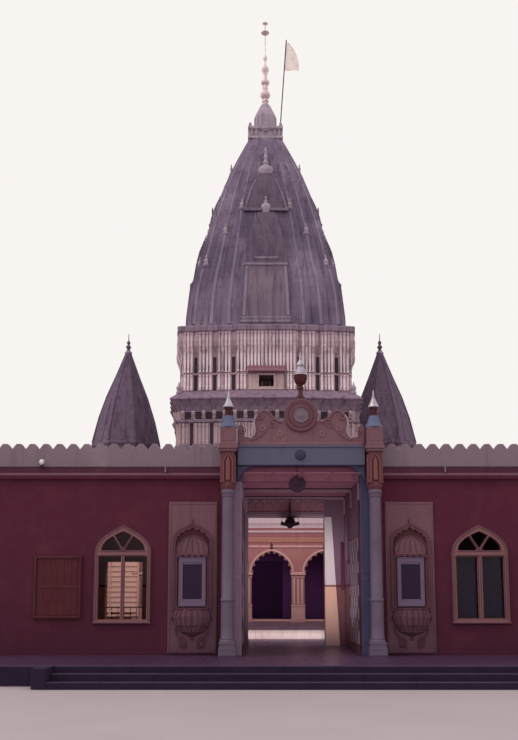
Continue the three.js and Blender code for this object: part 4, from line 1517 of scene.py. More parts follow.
    @staticmethod
    def bowl(face: float) -> list[Piece]:
        """Models the ribbed bowl under the niche, with its rim, scrolls and foot.

        Args:
            face: Y of the panel's face.

        Returns:
            The pieces about X = 0.
        """
        flat = Matrix.Diagonal((1, 0.42, 1, 1))
        pieces = [put(turned([
            (0.3, 1.565), (0.41, 1.57), (0.44, 1.585), (0.44, 1.615), (0.41, 1.63), (0.3, 1.63),
        ], 24), shifted(0, face) @ flat)]
        pieces.append(put(turned([
            (0.2, 1.13), (0.4, 1.15), (0.425, 1.175), (0.43, 1.2), (0.4, 1.225), (0.2, 1.23),
        ], 24), shifted(0, face) @ flat))
        for i in range(-4, 5):
            lean = math.radians(i * 20)
            radii = ((0.405, 1.57), (0.465, 1.42), (0.45, 1.3), (0.415, 1.2), (0.33, 1.08), (0.2, 0.985))
            line = [
                (r * math.sin(lean), face - r * 0.42 * math.cos(lean) - 0.004, z) for r, z in reversed(radii)
            ]
            pieces.append(swept(line, 0.03, 0.026, 1.6))
        drop = turned(
            [(0, 0.8), (0.03, 0.81), (0.05, 0.85), (0.03, 0.89), (0.07, 0.92), (0.11, 0.95), (0, 0.96)], 16,
        )
        pieces.append(put(drop, shifted(0, face) @ Matrix.Diagonal((1, 0.6, 1, 1))))
        for side in (-1, 1):
            curl = spiral((side * 0.49, 1.37), 0.075, 0.016, side * 1.2, 90)
            pieces.append(ribbon(curl, 0.022, face - 0.025, face))
            line = bezier(((0.42, 1.12), (0.44, 0.95), (0.3, 0.9), (0.2, 0.78)), 8)
            line += bezier(((0.2, 0.78), (0.1, 0.66), (0.26, 0.6), (0.3, 0.7)), 8)[1:]
            pieces.append(ribbon([(side * x, z) for x, z in line], 0.03, face - 0.028, face))
            leaf = cut_out(
                [(0.14, 0.6), (0.3, 0.64), (0.36, 0.82), (0.24, 0.92), (0.12, 0.8)], face - 0.014, face,
            )
            pieces.append(put(leaf, side_matrix(side)))
        return pieces

    def boards(self) -> None:
        """Lays planks and a moulded frame on the notice boards."""
        low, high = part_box("notice_board_right")
        x0, x1, z0, z1 = low[0] + 0.09, high[0] - 0.09, low[2] + 0.09, high[2] - 0.09
        width = (x1 - x0) / self.planks
        planks = [
            block((x0 + i * width + 0.001, -0.047, z0), (x0 + (i + 1) * width - 0.001, -0.034, z1), 0.003)
            for i in range(self.planks)
        ]
        frame_bars = [bars(
            (low[0] + 0.02, low[2] + 0.02), (high[0] - 0.02, high[2] - 0.02), 0.05, -0.075, -0.058, 0.01,
        ), block((x0, -0.056, (z0 + z1) / 2 - 0.03), (x1, -0.046, (z0 + z1) / 2 + 0.03), 0.005)]
        for _, name in SIDES:
            dress_node(f"notice_board_{name}", BOARD_WOOD)
        add_pair("board_planks", planks, BOARD_WOOD)
        add_pair("board_mouldings", frame_bars, BOARD_FRAME)

    def rear(self) -> None:
        """Adds rails to the rear windows and frames round them on the courtyard side."""
        inner, outer, sill, head = self.rear_window
        pieces = [block((inner - 0.02, 4.28, 1.57), (outer + 0.02, 4.305, 1.6), 0.005)]
        for i in range(1, 6):
            x = inner + (outer - inner) * i / 6
            pieces.append(block((x - 0.008, 4.284, sill), (x + 0.008, 4.3, 1.57), 0.003))
        frame_piece = bars((inner - 0.1, sill - 0.1), (outer + 0.1, head + 0.1), 0.1, 4.495, 4.53, 0.01)
        add_pair("window_rail", pieces, OLD_BRONZE)
        add_pair("rear_window_frame", frame_piece, ARCHITRAVE_PAINT)


@dataclass
class Gate:
    """The painted gateway: columns, capitals, kiosks, lintel, pediment and what hangs in it."""

    column: Pair = (1.885, -0.35)
    lintel_low: float = 5.27
    lintel_high: float = 5.79
    lintel_half: float = 1.64
    ring_z: float = 6.58
    face: float = -0.30
    link: dict[str, float] = field(default_factory=lambda: {
        "major_radius": 0.022, "minor_radius": 0.005, "major_segments": 12, "minor_segments": 6,
    })

    def build(self) -> None:
        """Models the gateway from the columns up."""
        self.columns()
        self.capitals()
        self.kiosks()
        self.frame_dressing()
        self.pediment()
        self.finial()
        self.hangings()

    def both(self, name: str, shape: Piece | Sequence[Piece], finish: Finish, node: str = "") -> None:
        """Sets a shape drawn about the column's axis on both sides.

        Args:
            name: Name of the pieces, to which the side is added.
            shape: The piece or pieces to copy; they are used up.
            finish: Their finish.
            node: First part of the CAD node's name that it replaces, if any.
        """
        x, y = self.column
        add_pair(name, shape, finish, lambda side: shifted(side * x, y), node)

    @staticmethod
    def slabs(*rows: Four) -> list[Piece]:
        """Square slabs about the column's axis, from half width, foot, head and edge."""
        return [block((-half, -half, low), (half, half, high), edge, 2) for half, low, high, edge in rows]

    def columns(self) -> None:
        """Turns the shafts and steps the square bases."""
        shaft = turned([
            (0, 0.78), (0.2, 0.78), (0.205, 0.8), (0.2, 0.825), (0.178, 0.85), (0.185, 0.875), (0.168, 0.9),
            (0.165, 1.2), (0.163, 1.78), (0.172, 1.79), (0.18, 1.81), (0.18, 1.84), (0.17, 1.862),
            (0.155, 1.88), (0.153, 3.0), (0.147, 4.44), (0.165, 4.455), (0.168, 4.475), (0.152, 4.495),
            (0.165, 4.52), (0.178, 4.55), (0.178, 4.6), (0.17, 4.618), (0, 4.618),
        ], 36)
        base = self.slabs((0.218, 0.436, 0.66, 0.012), (0.2, 0.655, 0.73, 0.02), (0.21, 0.725, 0.782, 0.012))
        panel = bars((-0.17, 0.47), (0.17, 0.63), 0.022, -0.226, -0.216, 0.004)
        self.both("column", [shaft, *base, panel], COLUMN_PAINT, "gate_column")

    def capitals(self) -> None:
        """Builds the flared capitals with tall leaves, a cornice and a panelled block."""
        body = [turned(
            [(0, 4.62), (0.168, 4.62), (0.175, 4.66), (0.195, 4.7), (0.2, 4.76), (0.18, 4.8), (0, 4.8)], 28,
        ), *self.slabs((0.17, 4.78, 5.62, 0.03))]
        top = self.slabs(
            (0.215, 5.6, 5.67, 0.018), (0.243, 5.665, 5.76, 0.022), (0.225, 5.755, 5.83, 0.018),
            (0.2, 5.825, 6.236, 0.012),
        )
        for turns in range(4):
            panel = bars((-0.15, 5.88), (0.15, 6.19), 0.028, -0.206, -0.196, 0.006)
            top.append(put(panel, quarter(turns)))
        self.both("capital", body, ORANGE_PAINT, "gate_capital")
        self.both("capital_top", top, PEDIMENT_PAINT)
        tongue = Arch(0.05, 4.86, 5.28, 0.2)
        outer = Arch(0.115, 4.84, 5.3, 0.24)
        leaves, hollows = [], []
        for turns in range(4):
            turn = quarter(turns)
            hollows.append(put(cut_out([*outer.path(-0.01), (0, 4.84)], -0.178, -0.168), turn))
            leaves.append(put(ribbon(outer.path(0), 0.03, -0.197, -0.168), turn))
            leaf = softened(cut_out([*tongue.path(0), (0, 4.86)], -0.2, -0.17), 0.012, 2)
            leaves.append(put(leaf, turn))
            for side in (-1, 1):
                curl = spiral((side * 0.13, 4.82), 0.045, 0.012, side * 1.1, 90, 14)
                leaves.append(put(ribbon(curl, 0.018, -0.2, -0.168), turn))
        self.both("capital_leaves", leaves, LEAF_PAINT)
        self.both("capital_hollows", hollows, LEAF_RED)

    def kiosks(self) -> None:
        """Turns the blue domes, dark red stems and silver bells on the capitals."""
        skirt = [turned([
            (0, 6.24), (0.228, 6.24), (0.23, 6.265), (0.215, 6.28), (0.2, 6.31), (0.165, 6.37), (0.138, 6.44),
            (0.118, 6.53), (0.108, 6.565), (0, 6.565),
        ], 24)]
        line = [(0, -0.205, 6.285), (0, -0.165, 6.37), (0, -0.135, 6.45), (0, -0.112, 6.55)]
        skirt += [put(swept(line, 0.03, 0.028, 0.6), spun(i, 12)) for i in range(12)]
        self.both("kiosk_dome", skirt, KIOSK_PAINT, "gate_kiosk")
        stem = [turned([
            (0, 6.56), (0.115, 6.56), (0.118, 6.575), (0.095, 6.59), (0.078, 6.6), (0.078, 6.71), (0.1, 6.73),
            (0.112, 6.76), (0.112, 6.785), (0, 6.785),
        ], 20)]
        stem += [
            put(block((-0.012, -0.09, 6.6), (0.012, -0.072, 6.72), 0.004), spun(i, 10)) for i in range(10)
        ]
        self.both("kiosk_stem", stem, LEAF_RED)
        bell = turned([
            (0, 6.784), (0.138, 6.784), (0.14, 6.8), (0.132, 6.815), (0.12, 6.85), (0.085, 6.92),
            (0.06, 6.985), (0.04, 7.03), (0.045, 7.05), (0.03, 7.08), (0.024, 7.12), (0.028, 7.14),
            (0.018, 7.17), (0.012, 7.24), (0, 7.25),
        ], 24)
        self.both("kiosk_bell", bell, SILVER)

    def frame_dressing(self) -> None:
        """Softens the blue frame and adds its panels, boss and bracket edges."""
        add_eased("gate_timber", "gate_frame", BLUE_PAINT, 0.012)
        low, high, half = self.lintel_low, self.lintel_high, self.lintel_half
        front = -0.35
        pieces = [block((-half, front - 0.03, high - 0.06), (half, front, high), 0.012, 2),
                  block((-half, front - 0.02, low), (half, front, low + 0.05), 0.012, 2)]
        pieces.append(block((-half, front - 0.008, low + 0.05), (half, front, high - 0.06), 0.004))
        add("lintel_mouldings", pieces, LINTEL_PAINT)
        boss = turned(
            [(0, 0), (0.14, 0), (0.145, 0.015), (0.1, 0.03), (0.11, 0.045), (0.06, 0.06), (0, 0.062)], 28,
        )
        put(boss, shifted(-0.02, front, (low + high) / 2) @ UPRIGHT)
        add("lintel_boss", boss, BOSS_PAINT)
        # The left jamb's facing and panels are paler than the right jamb's blue ones.
        edges, faded = [], [block((-1.849, -0.123, 0.44), (-1.531, -0.115, 4.87), 0.002)]
        for side in (-1, 1):
            curve = [
                (side * half, low - 0.39), (side * (half - 0.035), low - 0.27),
                (side * (half - 0.12), low - 0.13), (side * (half - 0.25), low - 0.04),
                (side * (half - 0.42), low),
            ]
            edges.append(ribbon(curve, 0.03, -0.272, -0.258))
            edges.append(ribbon(
                spiral((side * (half - 0.1), low - 0.12), 0.05, 0.012, side * 1.2, 90, 14), 0.016, -0.27,
                -0.258,
            ))
            x0, x1 = sorted((side * 1.56, side * 1.82))
            panels = faded if side < 0 else edges
            panels.append(bars((x0, 0.75), (x1, 2.35), 0.03, -0.13, -0.118, 0.006))
            panels.append(bars((x0, 2.5), (x1, 4.7), 0.03, -0.13, -0.118, 0.006))
        add("gate_beads", edges, BLUE_PAINT)
        add("pale_left_jamb_panels", faded, PALE_LEFT_JAMB)

    def pediment(self) -> None:
        """Softens the pediment and adds its edges, the painted highlight on its shoulders and horns, scrolls,
        rosettes and medallion.
        """
        add_eased("pediment_plaster", "pediment", PEDIMENT_PAINT, 0.01, 2, 40)
        face = self.face
        hump = bezier(((0.5, 6.43), (0.62, 6.44), (0.7, 6.53), (0.77, 6.62)), 5)
        hump += bezier(((0.79, 6.65), (0.88, 6.76), (1.02, 6.76), (1.12, 6.65)), 6)
        outer = bezier(((1.14, 6.62), (1.26, 6.48), (1.21, 6.35), (1.2, 6.28)), 5)
        outer += bezier(((1.19, 6.2), (1.2, 6.1), (1.26, 6.03), (1.33, 6.0)), 5)
        horn = bezier(((1.45, 6.02), (1.44, 6.2), (1.47, 6.32), (1.53, 6.36)), 6)
        vine = bezier(((0.86, 6.28), (0.98, 6.05), (1.1, 6.02), (1.3, 5.93)), 8)
        trims, highlight_bands, curls = [], [], []
        for side in (-1, 1):
            for line, kept in ((hump, trims), (outer, highlight_bands), (horn, highlight_bands)):
                kept.append(ribbon([(side * x, z - 0.02) for x, z in line], 0.04, face - 0.035, face + 0.002))
            for x, z, outer_r, inner_r, turns, start, width, out in (
                (1.08, 6.56, 0.11, 0.022, side * 1.5, 90 - 30 * side, 0.032, 0.04),
                (1.5, 6.18, 0.085, 0.018, side * 1.3, 90, 0.026, 0.04),
                (0.72, 6.36, 0.12, 0.022, -side * 1.4, 90 + 10 * side, 0.03, 0.03),
            ):
                curls.append(
                    ribbon(spiral((side * x, z), outer_r, inner_r, turns, start), width, face - out, face)
                )
            curls.append(ribbon([(side * x, z) for x, z in vine], 0.026, face - 0.025, face))
        add("pediment_edges", trims, PEDIMENT_RELIEF)
        # The shoulder and horn bands carry a painted highlight.
        add("pediment_shoulder_highlights", highlight_bands, SHOULDER_HIGHLIGHT)
        add("pediment_scrolls", curls, PEDIMENT_RELIEF)
        add("pediment_band", block((-1.6, face - 0.03, 5.795), (1.6, face, 5.87), 0.014, 2), PEDIMENT_RELIEF)
        petal = softened(
            cut_out([(-0.02, 0), (-0.03, 0.05), (0, 0.085), (0.03, 0.05), (0.02, 0)], -0.015, 0), 0.005,
        )
        places = [
            shifted(x, face, z) @ Matrix.Rotation(i * math.tau / 8, 4, "Y") @ shifted(0, 0, 0.025)
            for x, z in ((-1.0, 6.25), (1.0, 6.25), (-0.55, 6.1), (0.55, 6.1)) for i in range(8)
        ]
        add("pediment_rosettes", repeated(petal, places), PEDIMENT_RELIEF)
        front = -0.33
        ring = turned([
            (0.325, 0), (0.43, 0), (0.44, 0.008), (0.43, 0.03), (0.4, 0.042), (0.37, 0.03), (0.34, 0.038),
            (0.325, 0.02),
        ], 48)
        add("medallion_ring", put(ring, shifted(0, front, self.ring_z) @ UPRIGHT), RING_PAINT)
        disc = turned([
            (0, 0), (0.32, 0), (0.32, 0.026), (0.3, 0.042), (0.25, 0.034), (0.235, 0.042), (0.215, 0.044),
            (0.205, 0.022), (0, 0.022),
        ], 48)
        add(
            "medallion_disc", put(disc, shifted(0, front - 0.0004, self.ring_z) @ UPRIGHT), RING_PAINT,
            "medallion",
        )
        plate = turned([
            (0, 0), (0.2, 0), (0.2, 0.01), (0.185, 0.018), (0.17, 0.01), (0.08, 0.012), (0.07, 0.02),
            (0, 0.021),
        ], 40)
        add("medallion_plate", put(plate, shifted(0, front - 0.0225, self.ring_z) @ UPRIGHT), WHITE_TRIM)

    def finial(self) -> None:
        """Turns the pediment's finial: dark stem, red cup and white bell."""
        place = shifted(0, -0.2)
        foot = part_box("pediment_finial")[0][2]
        stem = turned([
            (0, foot), (0.11, foot), (0.112, foot + 0.04), (0.085, foot + 0.06), (0.065, foot + 0.09),
            (0.06, 7.28), (0.085, 7.31), (0.085, 7.34), (0.06, 7.37), (0.075, 7.42), (0.13, 7.47),
            (0.158, 7.55), (0.165, 7.62), (0.172, 7.66), (0.18, 7.675), (0, 7.675),
        ], 28)
        line = [(0, -0.082, 7.43), (0, -0.135, 7.48), (0, -0.16, 7.56), (0, -0.168, 7.64)]
        ribs = [put(swept(line, 0.03, 0.016, 1.3), spun(i, 12)) for i in range(12)]
        add("finial_cup", put(joined([stem, *ribs]), place), LEAF_RED, "pediment_finial")
        bell = turned([
            (0, 7.674), (0.184, 7.674), (0.185, 7.69), (0.176, 7.715), (0.165, 7.75), (0.13, 7.81),
            (0.105, 7.86), (0.092, 7.9), (0.1, 7.925), (0.115, 7.95), (0.1, 7.985), (0.07, 8.03),
            (0.045, 8.09), (0.035, 8.13), (0.042, 8.15), (0.03, 8.18), (0.02, 8.24), (0.012, 8.31),
            (0, 8.314),
        ], 32)
        add("finial_bell", put(bell, place), SILVER)

    def hangings(self) -> None:
        """Beats the gong, links its chain and dresses the hanging lamp."""
        gong = turned([
            (0, -0.02), (0.1, -0.02), (0.17, -0.018), (0.21, -0.01), (0.221, 0), (0.221, 0.006),
            (0.21, 0.012), (0.18, 0.015), (0.165, 0.008), (0.075, 0.008), (0.06, 0.02), (0, 0.022),
        ], 40)
        place = shifted(-0.1, -0.17, 4.8)
        links = []
        for i in range(6):
            link = added(bpy.ops.mesh.primitive_torus_add, **self.link)
            place_link = shifted(-0.1, -0.17, 5.03 + i * 0.042) @ quarter(i % 2) @ UPRIGHT
            links.append(put(link, place_link @ Matrix.Diagonal((0.8, 1.25, 1, 1))))
        hanger = block((-0.106, -0.176, 4.99), (-0.094, -0.164, 5.02), 0.003)
        add("gong_disc", joined([put(gong, place @ UPRIGHT), *links, hanger]), GONG_BRONZE, "gong")
        x, y = -0.14, 3.95
        body = [turned([
            (0, 3.972), (0.03, 3.976), (0.06, 3.99), (0.1, 4.03), (0.17, 4.055), (0.28, 4.08), (0.298, 4.1),
            (0.295, 4.125), (0.22, 4.135), (0.15, 4.17), (0.12, 4.22), (0.09, 4.29), (0.04, 4.315),
            (0.022, 4.33), (0.018, 4.45), (0.03, 4.47), (0.018, 4.5), (0.014, 4.86), (0, 4.87),
        ], 32)]
        for i in range(6):
            turn = spun(i, 6)
            cup = turned(
                [(0, 0), (0.03, 0.005), (0.05, 0.04), (0.045, 0.045), (0, 0.02)], 12, (0.24, 0, 4.13),
            )
            arm = ribbon(
                bezier(((0.05, 4.3), (0.2, 4.36), (0.3, 4.26), (0.24, 4.17)), 8), 0.014, -0.007, 0.007,
            )
            body += [put(cup, turn), put(arm, turn)]
        add("lamp_metal", put(joined(body), shifted(x, y)), OLD_BRONZE, "hanging_lamp")


@dataclass
class Passage:
    """Inside the gateway: marble blocks, beams, jambs and the lattice over the rear opening."""

    half: float = 1.53
    floor: float = 0.435
    ceiling: float = 4.88
    opening: Pair = (-1.42, 0.92)
    opening_top: float = 4.34
    rear_face: float = 4.1
    door: Triple = (2.7, 3.7, 2.9)

    def build(self) -> None:
        """Dresses both walls, the ceiling and the rear opening."""
        for name in ("left", "right"):
            # The side walls take the darker copy of the passage limewash: painted shade.
            dress_node(f"passage_wall_{name}", PASSAGE_SHADE)
        self.blocks()
        self.beams()
        self.jambs()
        self.lattice()

    def blocks(self) -> None:
        """Lays alternate light and dark marble blocks on both side walls."""
        rows, columns = 9, 7
        low, high, near, far = 0.72, 3.42, 0.42, 2.52
        height, width = (high - low) / rows, (far - near) / columns
        light, dark = [], []
        model = block(
            (self.half - 0.014, 0.004, 0.004), (self.half + 0.002, width - 0.004, height - 0.004), 0.004,
        )
        for row in range(rows):
            for column in range(columns):
                place = shifted(0, near + column * width, low + row * height)
                kind = dark if (row + column) % 2 else light
                kind.extend((twin(model, place), twin(model, MIRROR @ place)))
        discard(model)
        add("marble_light", light, MARBLE)
        add("marble_dark", dark, DARK_MARBLE)
        strips = []
        for side in (-1, 1):
            x0, x1 = sorted((side * (self.half - 0.02), side * self.half))
            for z in (low - 0.05, high):
                strips.append(block((x0, near - 0.03, z), (x1, far + 0.03, z + 0.045), 0.006))
        add("marble_strings", strips, PASSAGE_RED)

    def beams(self) -> None:
        """Moulds the beams' edges and sets panels and brackets between them."""
        reach = self.half - 0.01
        width = (self.half - 0.06) / 2
        level = Matrix.Rotation(-math.pi / 2, 4, "X") @ Matrix.Scale(-1, 4, (0, 0, 1))
        pieces, panels = [], []
        boards = [block((-reach, -0.006, 4.885), (reach, 0, 5.265), 0.002)]
        for y in (0, 1.85, 3.8):
            boards.append(block((-reach, y + 0.025, 4.874), (reach, y + 0.275, 4.881), 0.002))
            for near, far in ((y - 0.012, y + 0.03), (y + 0.27, y + 0.311)):
                if near < 0:
                    continue
                pieces.append(block((-reach, near, self.ceiling - 0.012), (reach, far, 4.93), 0.01))
            for side in (-1, 1):
                model = standing([
                    (0, 4.42), (0.05, 4.44), (0.08, 4.55), (0.2, 4.68), (0.24, 4.8), (0.24, 4.872),
                    (0, 4.872),
                ], 0.2, 0.015)
                pieces.append(put(model, shifted(side * self.half, y + 0.15) @ quarter(-side).inverted()))
        for near, far in ((0.32, 1.82), (2.18, 3.77)):
            boards.append(block((-reach, near, 4.944), (reach, far, 4.951), 0.002))
            for i in range(4):
                x = -self.half + 0.06 + i * width
                panel = bars((x + 0.03, 0), (x + width - 0.03, far - near - 0.06), 0.04, -0.016, 0, 0.006)
                panels.append(put(panel, shifted(0, near + 0.03, 4.95) @ level))
        add("passage_beams", pieces, JAMB_WALL)
        add("ceiling_panels", panels, PASSAGE_RED)
        add("ceiling_boards", boards, CEILING_ROSE)

    def jambs(self) -> None:
        """Frames the rear opening and the side doors."""
        left, right = self.opening
        back, top = self.rear_face, self.opening_top
        pieces = [block((x0, back - out, z0), (x1, back, z1), 0.012, 2) for x0, out, z0, x1, z1 in (
            (left - 0.1, 0.04, self.floor, left, top + 0.1), (left - 0.12, 0.06, 2.9, left + 0.02, 2.97),
            (left - 0.12, 0.06, self.floor, left + 0.02, 0.62), (left, 0.04, top, right, top + 0.1),
        )]
        add("rear_jambs", pieces, JAMB_WALL)
        # The pier plate widens to its foot along the slanting edge of a sun patch and takes the sunlit
        # limewash: painted light over a real pier.
        outline = [(right, self.floor), (right + 0.44, self.floor), (right + 0.22, top), (right, top)]
        add("rear_pier_sun_patch", softened(cut_out(outline, back - 0.03, back), 0.008), SUNLIT_PIER_WHITE)
        # A plate over the rear wall's right part in the painted-shade limewash.
        corner = block((right, back - 0.012, self.floor), (self.half - 0.002, back, self.ceiling), 0.004)
        add("rear_corner", corner, PASSAGE_SHADE)
        # A dark strip in the rear wall's corner: painted shade of a shadowed recess.
        add(
            "corner_shadow_strip", block((self.half - 0.12, back - 0.02, 2.1), (self.half - 0.01, back, 3.57), 0.006),
            CORNICE_DARK,
        )
        near, far, head = self.door
        doors = []
        for side in (-1, 1):
            frame_piece = bars((near - 0.09, self.floor), (far + 0.09, head + 0.09), 0.09, -0.03, 0, 0.01)
            doors.append(put(frame_piece, shifted(side * self.half, 0) @ quarter(side) @ side_matrix(side)))
        add("side_door_frames", doors, BOARD_FRAME)

    def lattice(self) -> None:
        """Sets a pierced band of small arches over the rear opening."""
        left, right = self.opening
        low, high = self.opening_top + 0.12, self.ceiling - 0.02
        count = 9
        width = (right - left) / count
        arch = Arch(width / 2 - 0.035, low + 0.03, high - 0.16, 0.1)
        model = joined([
            ribbon(arch.path(0.012), 0.024, self.rear_face - 0.035, self.rear_face),
            cut_out([*arch.path(0), (0, low + 0.03)], self.rear_face - 0.006, self.rear_face),
        ])
        places = [shifted(left + (i + 0.5) * width) for i in range(count)]
        add("lattice_bays", repeated(model, places), PASSAGE_RED)
        rails = [
            block((left, self.rear_face - 0.045, z), (right, self.rear_face, z + 0.03), 0.008)
            for z in (low - 0.005, high - 0.03)
        ]
        add("lattice_rails", rails, JAMB_WALL)


@dataclass
class Shrine:
    """The arcaded shrine body round the tower's foot."""

    middle: float = -0.64
    half: float = 7.96
    front: float = 8.5
    back: float = 17.7
    plinth: float = 0.99
    reach: float = 0.10
    pitch: float = 1.886
    arches: int = 5
    arch: Arch = Arch(0.713, 0.99, 2.77, 0.74, 0.6, (0.4, 0.946))
    pier: float = 0.46
    screen: Four = (4.72, 6.77, 1.2, 3.3)
    slat_pitch: float = 0.18
    side_bays: int = 5

    def build(self) -> None:
        """Dresses the walls and models arcade, cornice, screens and blind arches."""
        dress_node("arcade", PINK_WALL)
        dress_node("shrine_walls", PINK_WALL)
        dress_node("shrine_roof", SHRINE_RED)
        dress_node("sanctum_walls", SANCTUM_WALL)
        add_eased("shrine_parapet_skin", "shrine_parapet", COURT_LILAC, 0.025)
        self.arcade()
        self.cornice()
        self.screens()
        self.blind_arches()

    def centres(self) -> list[float]:
        """X of each arch's middle."""
        return [self.middle + (i - (self.arches - 1) / 2) * self.pitch for i in range(self.arches)]

    def arcade(self) -> None:
        """Adds the arches' bands, cusps, keys, and the piers' bases and capitals."""
        face = self.front
        band = ribbon(self.arch.crown(0.05), 0.07, face - 0.03, face + 0.01)
        inner = self.arch.cusped(9, 0.075)
        cusps = cut_out([*self.arch.crown(0.012), *reversed(inner)], face + 0.03, face + 0.13)
        key = turned(
            [(0, 0), (0.05, 0.02), (0.075, 0.07), (0.045, 0.12), (0.05, 0.16), (0.02, 0.22), (0, 0.3)], 14,
        )
        put(key, shifted(0, face - 0.015, 3.56) @ Matrix.Diagonal((1, 0.5, 1, 1)))
        spots = [shifted(x) for x in self.centres()]
        add("arcade_bands", repeated(band, spots), COURT_TRIM)
        add("arcade_cusps", repeated(cusps, spots), PINK_TRIM)
        add("arcade_keys", repeated(key, spots), LEAF_RED)
        half = self.pier / 2
        rows = (
            (0.03, 0.05, 0.1, self.plinth, 1.16, 0.015), (0.012, 0.035, 0.08, 1.15, 1.56, 0.012),
            (0.025, 0.05, 0.09, 1.555, 1.61, 0.016), (0.012, 0.03, 0.06, 2.56, 2.61, 0.012),
            (0.035, 0.06, 0.1, 2.65, 2.76, 0.02),
        )
        shaft = [
            block((-half - grow, face - out, low), (half + grow, face + back, high), edge, 2)
            for grow, out, back, low, high, edge in rows
        ]
        for x in (-0.14, 0, 0.14):
            shaft.append(standing([(0, 1.62), (0.022, 1.64), (0.022, 2.53), (0, 2.55)], 0.09, 0.012))
            put(shaft[-1], shifted(x, face))
        centres = self.centres()
        piers = [x - self.pitch / 2 for x in centres] + [centres[-1] + self.pitch / 2]
        add("arcade_piers", repeated(joined(shaft), [shifted(x) for x in piers]), COURT_TRIM)

    def run(self, name: str, profile: Line, out: float, finish: Finish) -> None:
        """Runs one moulding round all four sides.

        Args:
            name: Name of the joined piece.
            profile: Distance out and height pairs.
            out: How far outside the walls its back lies.
            finish: Its finish.
        """
        half, depth = self.half + out, (self.back - self.front) / 2 + out
        mid_y = (self.back + self.front) / 2
        pieces = []
        for turns, (reach, length) in enumerate(((depth, half), (half, depth), (depth, half), (half, depth))):
            strip = standing(profile, 2 * length)
            pieces.append(put(strip, shifted(self.middle, mid_y) @ quarter(turns) @ shifted(0, -reach)))
        add(name, pieces, finish)

    def cornice(self) -> None:
        """Runs mouldings under and over the red cornice."""
        self.run("shrine_string", [(0, 3.63), (0.03, 3.65), (0.03, 3.69), (0, 3.71)], 0, COURT_TRIM)
        self.run(
            "shrine_frieze", [(0, 3.8), (0.04, 3.83), (0.06, 3.9), (0.08, 3.97), (0.08, 4.018), (0, 4.018)],
            0, PINK_TRIM,
        )
        self.run(
            "cornice_torus", [(0, 4.16), (0.022, 4.17), (0.035, 4.2), (0.022, 4.23), (0, 4.24)], self.reach,
            COURT_LILAC,
        )
        self.run(
            "cornice_edge", [(0, 4.33), (0.018, 4.335), (0.018, 4.375), (0, 4.38)], self.reach, COURT_LILAC,
        )
        self.run(
            "plinth_torus", [(0, 1.0), (0.035, 1.01), (0.045, 1.05), (0.03, 1.09), (0, 1.1)], 0, COURT_TRIM,
        )

    def louvre(self, width: float, low: float, high: float) -> tuple[Piece, Piece]:
        """A framed panel of sloping slats on a wall that faces -Y.

        Args:
            width: Outer width.
            low: Foot.
            high: Head.

        Returns:
            The frame and the slats.
        """
        edge = 0.07
        frame_piece = joined([
            bars((-width / 2, low), (width / 2, high), edge, -0.075, 0, 0.01),
            block((-edge / 2, -0.07, low + edge), (edge / 2, 0, high - edge), 0.008),
        ])
        count = int((high - low - 2 * edge) / self.slat_pitch)
        slat = block((-width / 2 + edge, -0.012, -0.092), (width / 2 - edge, 0.008, 0.092), 0.004)
        tilt = Matrix.Rotation(math.radians(-9), 4, "X")
        start = low + edge + (high - low - 2 * edge - (count - 1) * self.slat_pitch) / 2
        places = [shifted(0, -0.04, start + i * self.slat_pitch) @ tilt for i in range(count)]
        return frame_piece, repeated(slat, places)

    def screens(self) -> None:
        """Fills the front's end bays with slatted screens."""
        near, far, low, high = self.screen
        frame_piece, slats = self.louvre(far - near, low, high)
        places = [shifted(self.middle + side * (near + far) / 2, self.front) for side in (-1, 1)]
        add("screen_frames", repeated(frame_piece, places), SHUTTER_FRAME)
        add("screen_slats", repeated(slats, places), SHUTTER_WOOD)

    def blind_arches(self) -> None:
        """Sets blind arches with slatted windows round the sides and the back."""
        arch = Arch(0.6, 1.25, 2.75, 0.6)
        hoop = ribbon(arch.path(0.05), 0.08, -0.05, 0)
        shade_plate = cut_out([*arch.path(0), (0, 1.25)], -0.008, 0)
        sill = standing([(0, 1.13), (0.08, 1.15), (0.09, 1.22), (0, 1.25)], 1.5, 0.01)
        pilaster = joined([
            block((-0.11, -0.05, 1.15), (0.11, 0, 3.5), 0.015, 2),
            block((-0.14, -0.07, 1.1), (0.14, 0, 1.4), 0.015, 2),
            block((-0.14, -0.07, 3.42), (0.14, 0, 3.6), 0.02, 2),
        ])
        frame_piece, slats = self.louvre(0.94, 1.32, 2.84)
        mid_y = (self.front + self.back) / 2
        spots, posts = [], []
        for turns, reach, length, count in (
            (1, self.half, self.back - self.front, self.side_bays),
            (2, (self.back - self.front) / 2, 2 * self.half, 8),
            (3, self.half, self.back - self.front, self.side_bays),
        ):
            base = shifted(self.middle, mid_y) @ quarter(turns)
            for i in range(count):
                spots.append(base @ shifted((i + 0.5) * length / count - length / 2, -reach))
            for i in range(count + 1):
                along = max(-length / 2 + 0.15, min(length / 2 - 0.15, i * length / count - length / 2))
                posts.append(base @ shifted(along, -reach))
        for name, model, finish, where in (
            ("blind_hoops", joined([hoop, sill]), COURT_TRIM, spots),
            ("blind_fields", shade_plate, SLOT_SHADE, spots), ("blind_frames", frame_piece, BLIND_FRAME, spots),
            ("blind_slats", slats, BLIND_WOOD, spots), ("blind_pilasters", pilaster, PINK_TRIM, posts),
        ):
            add(name, repeated(model, where), finish)


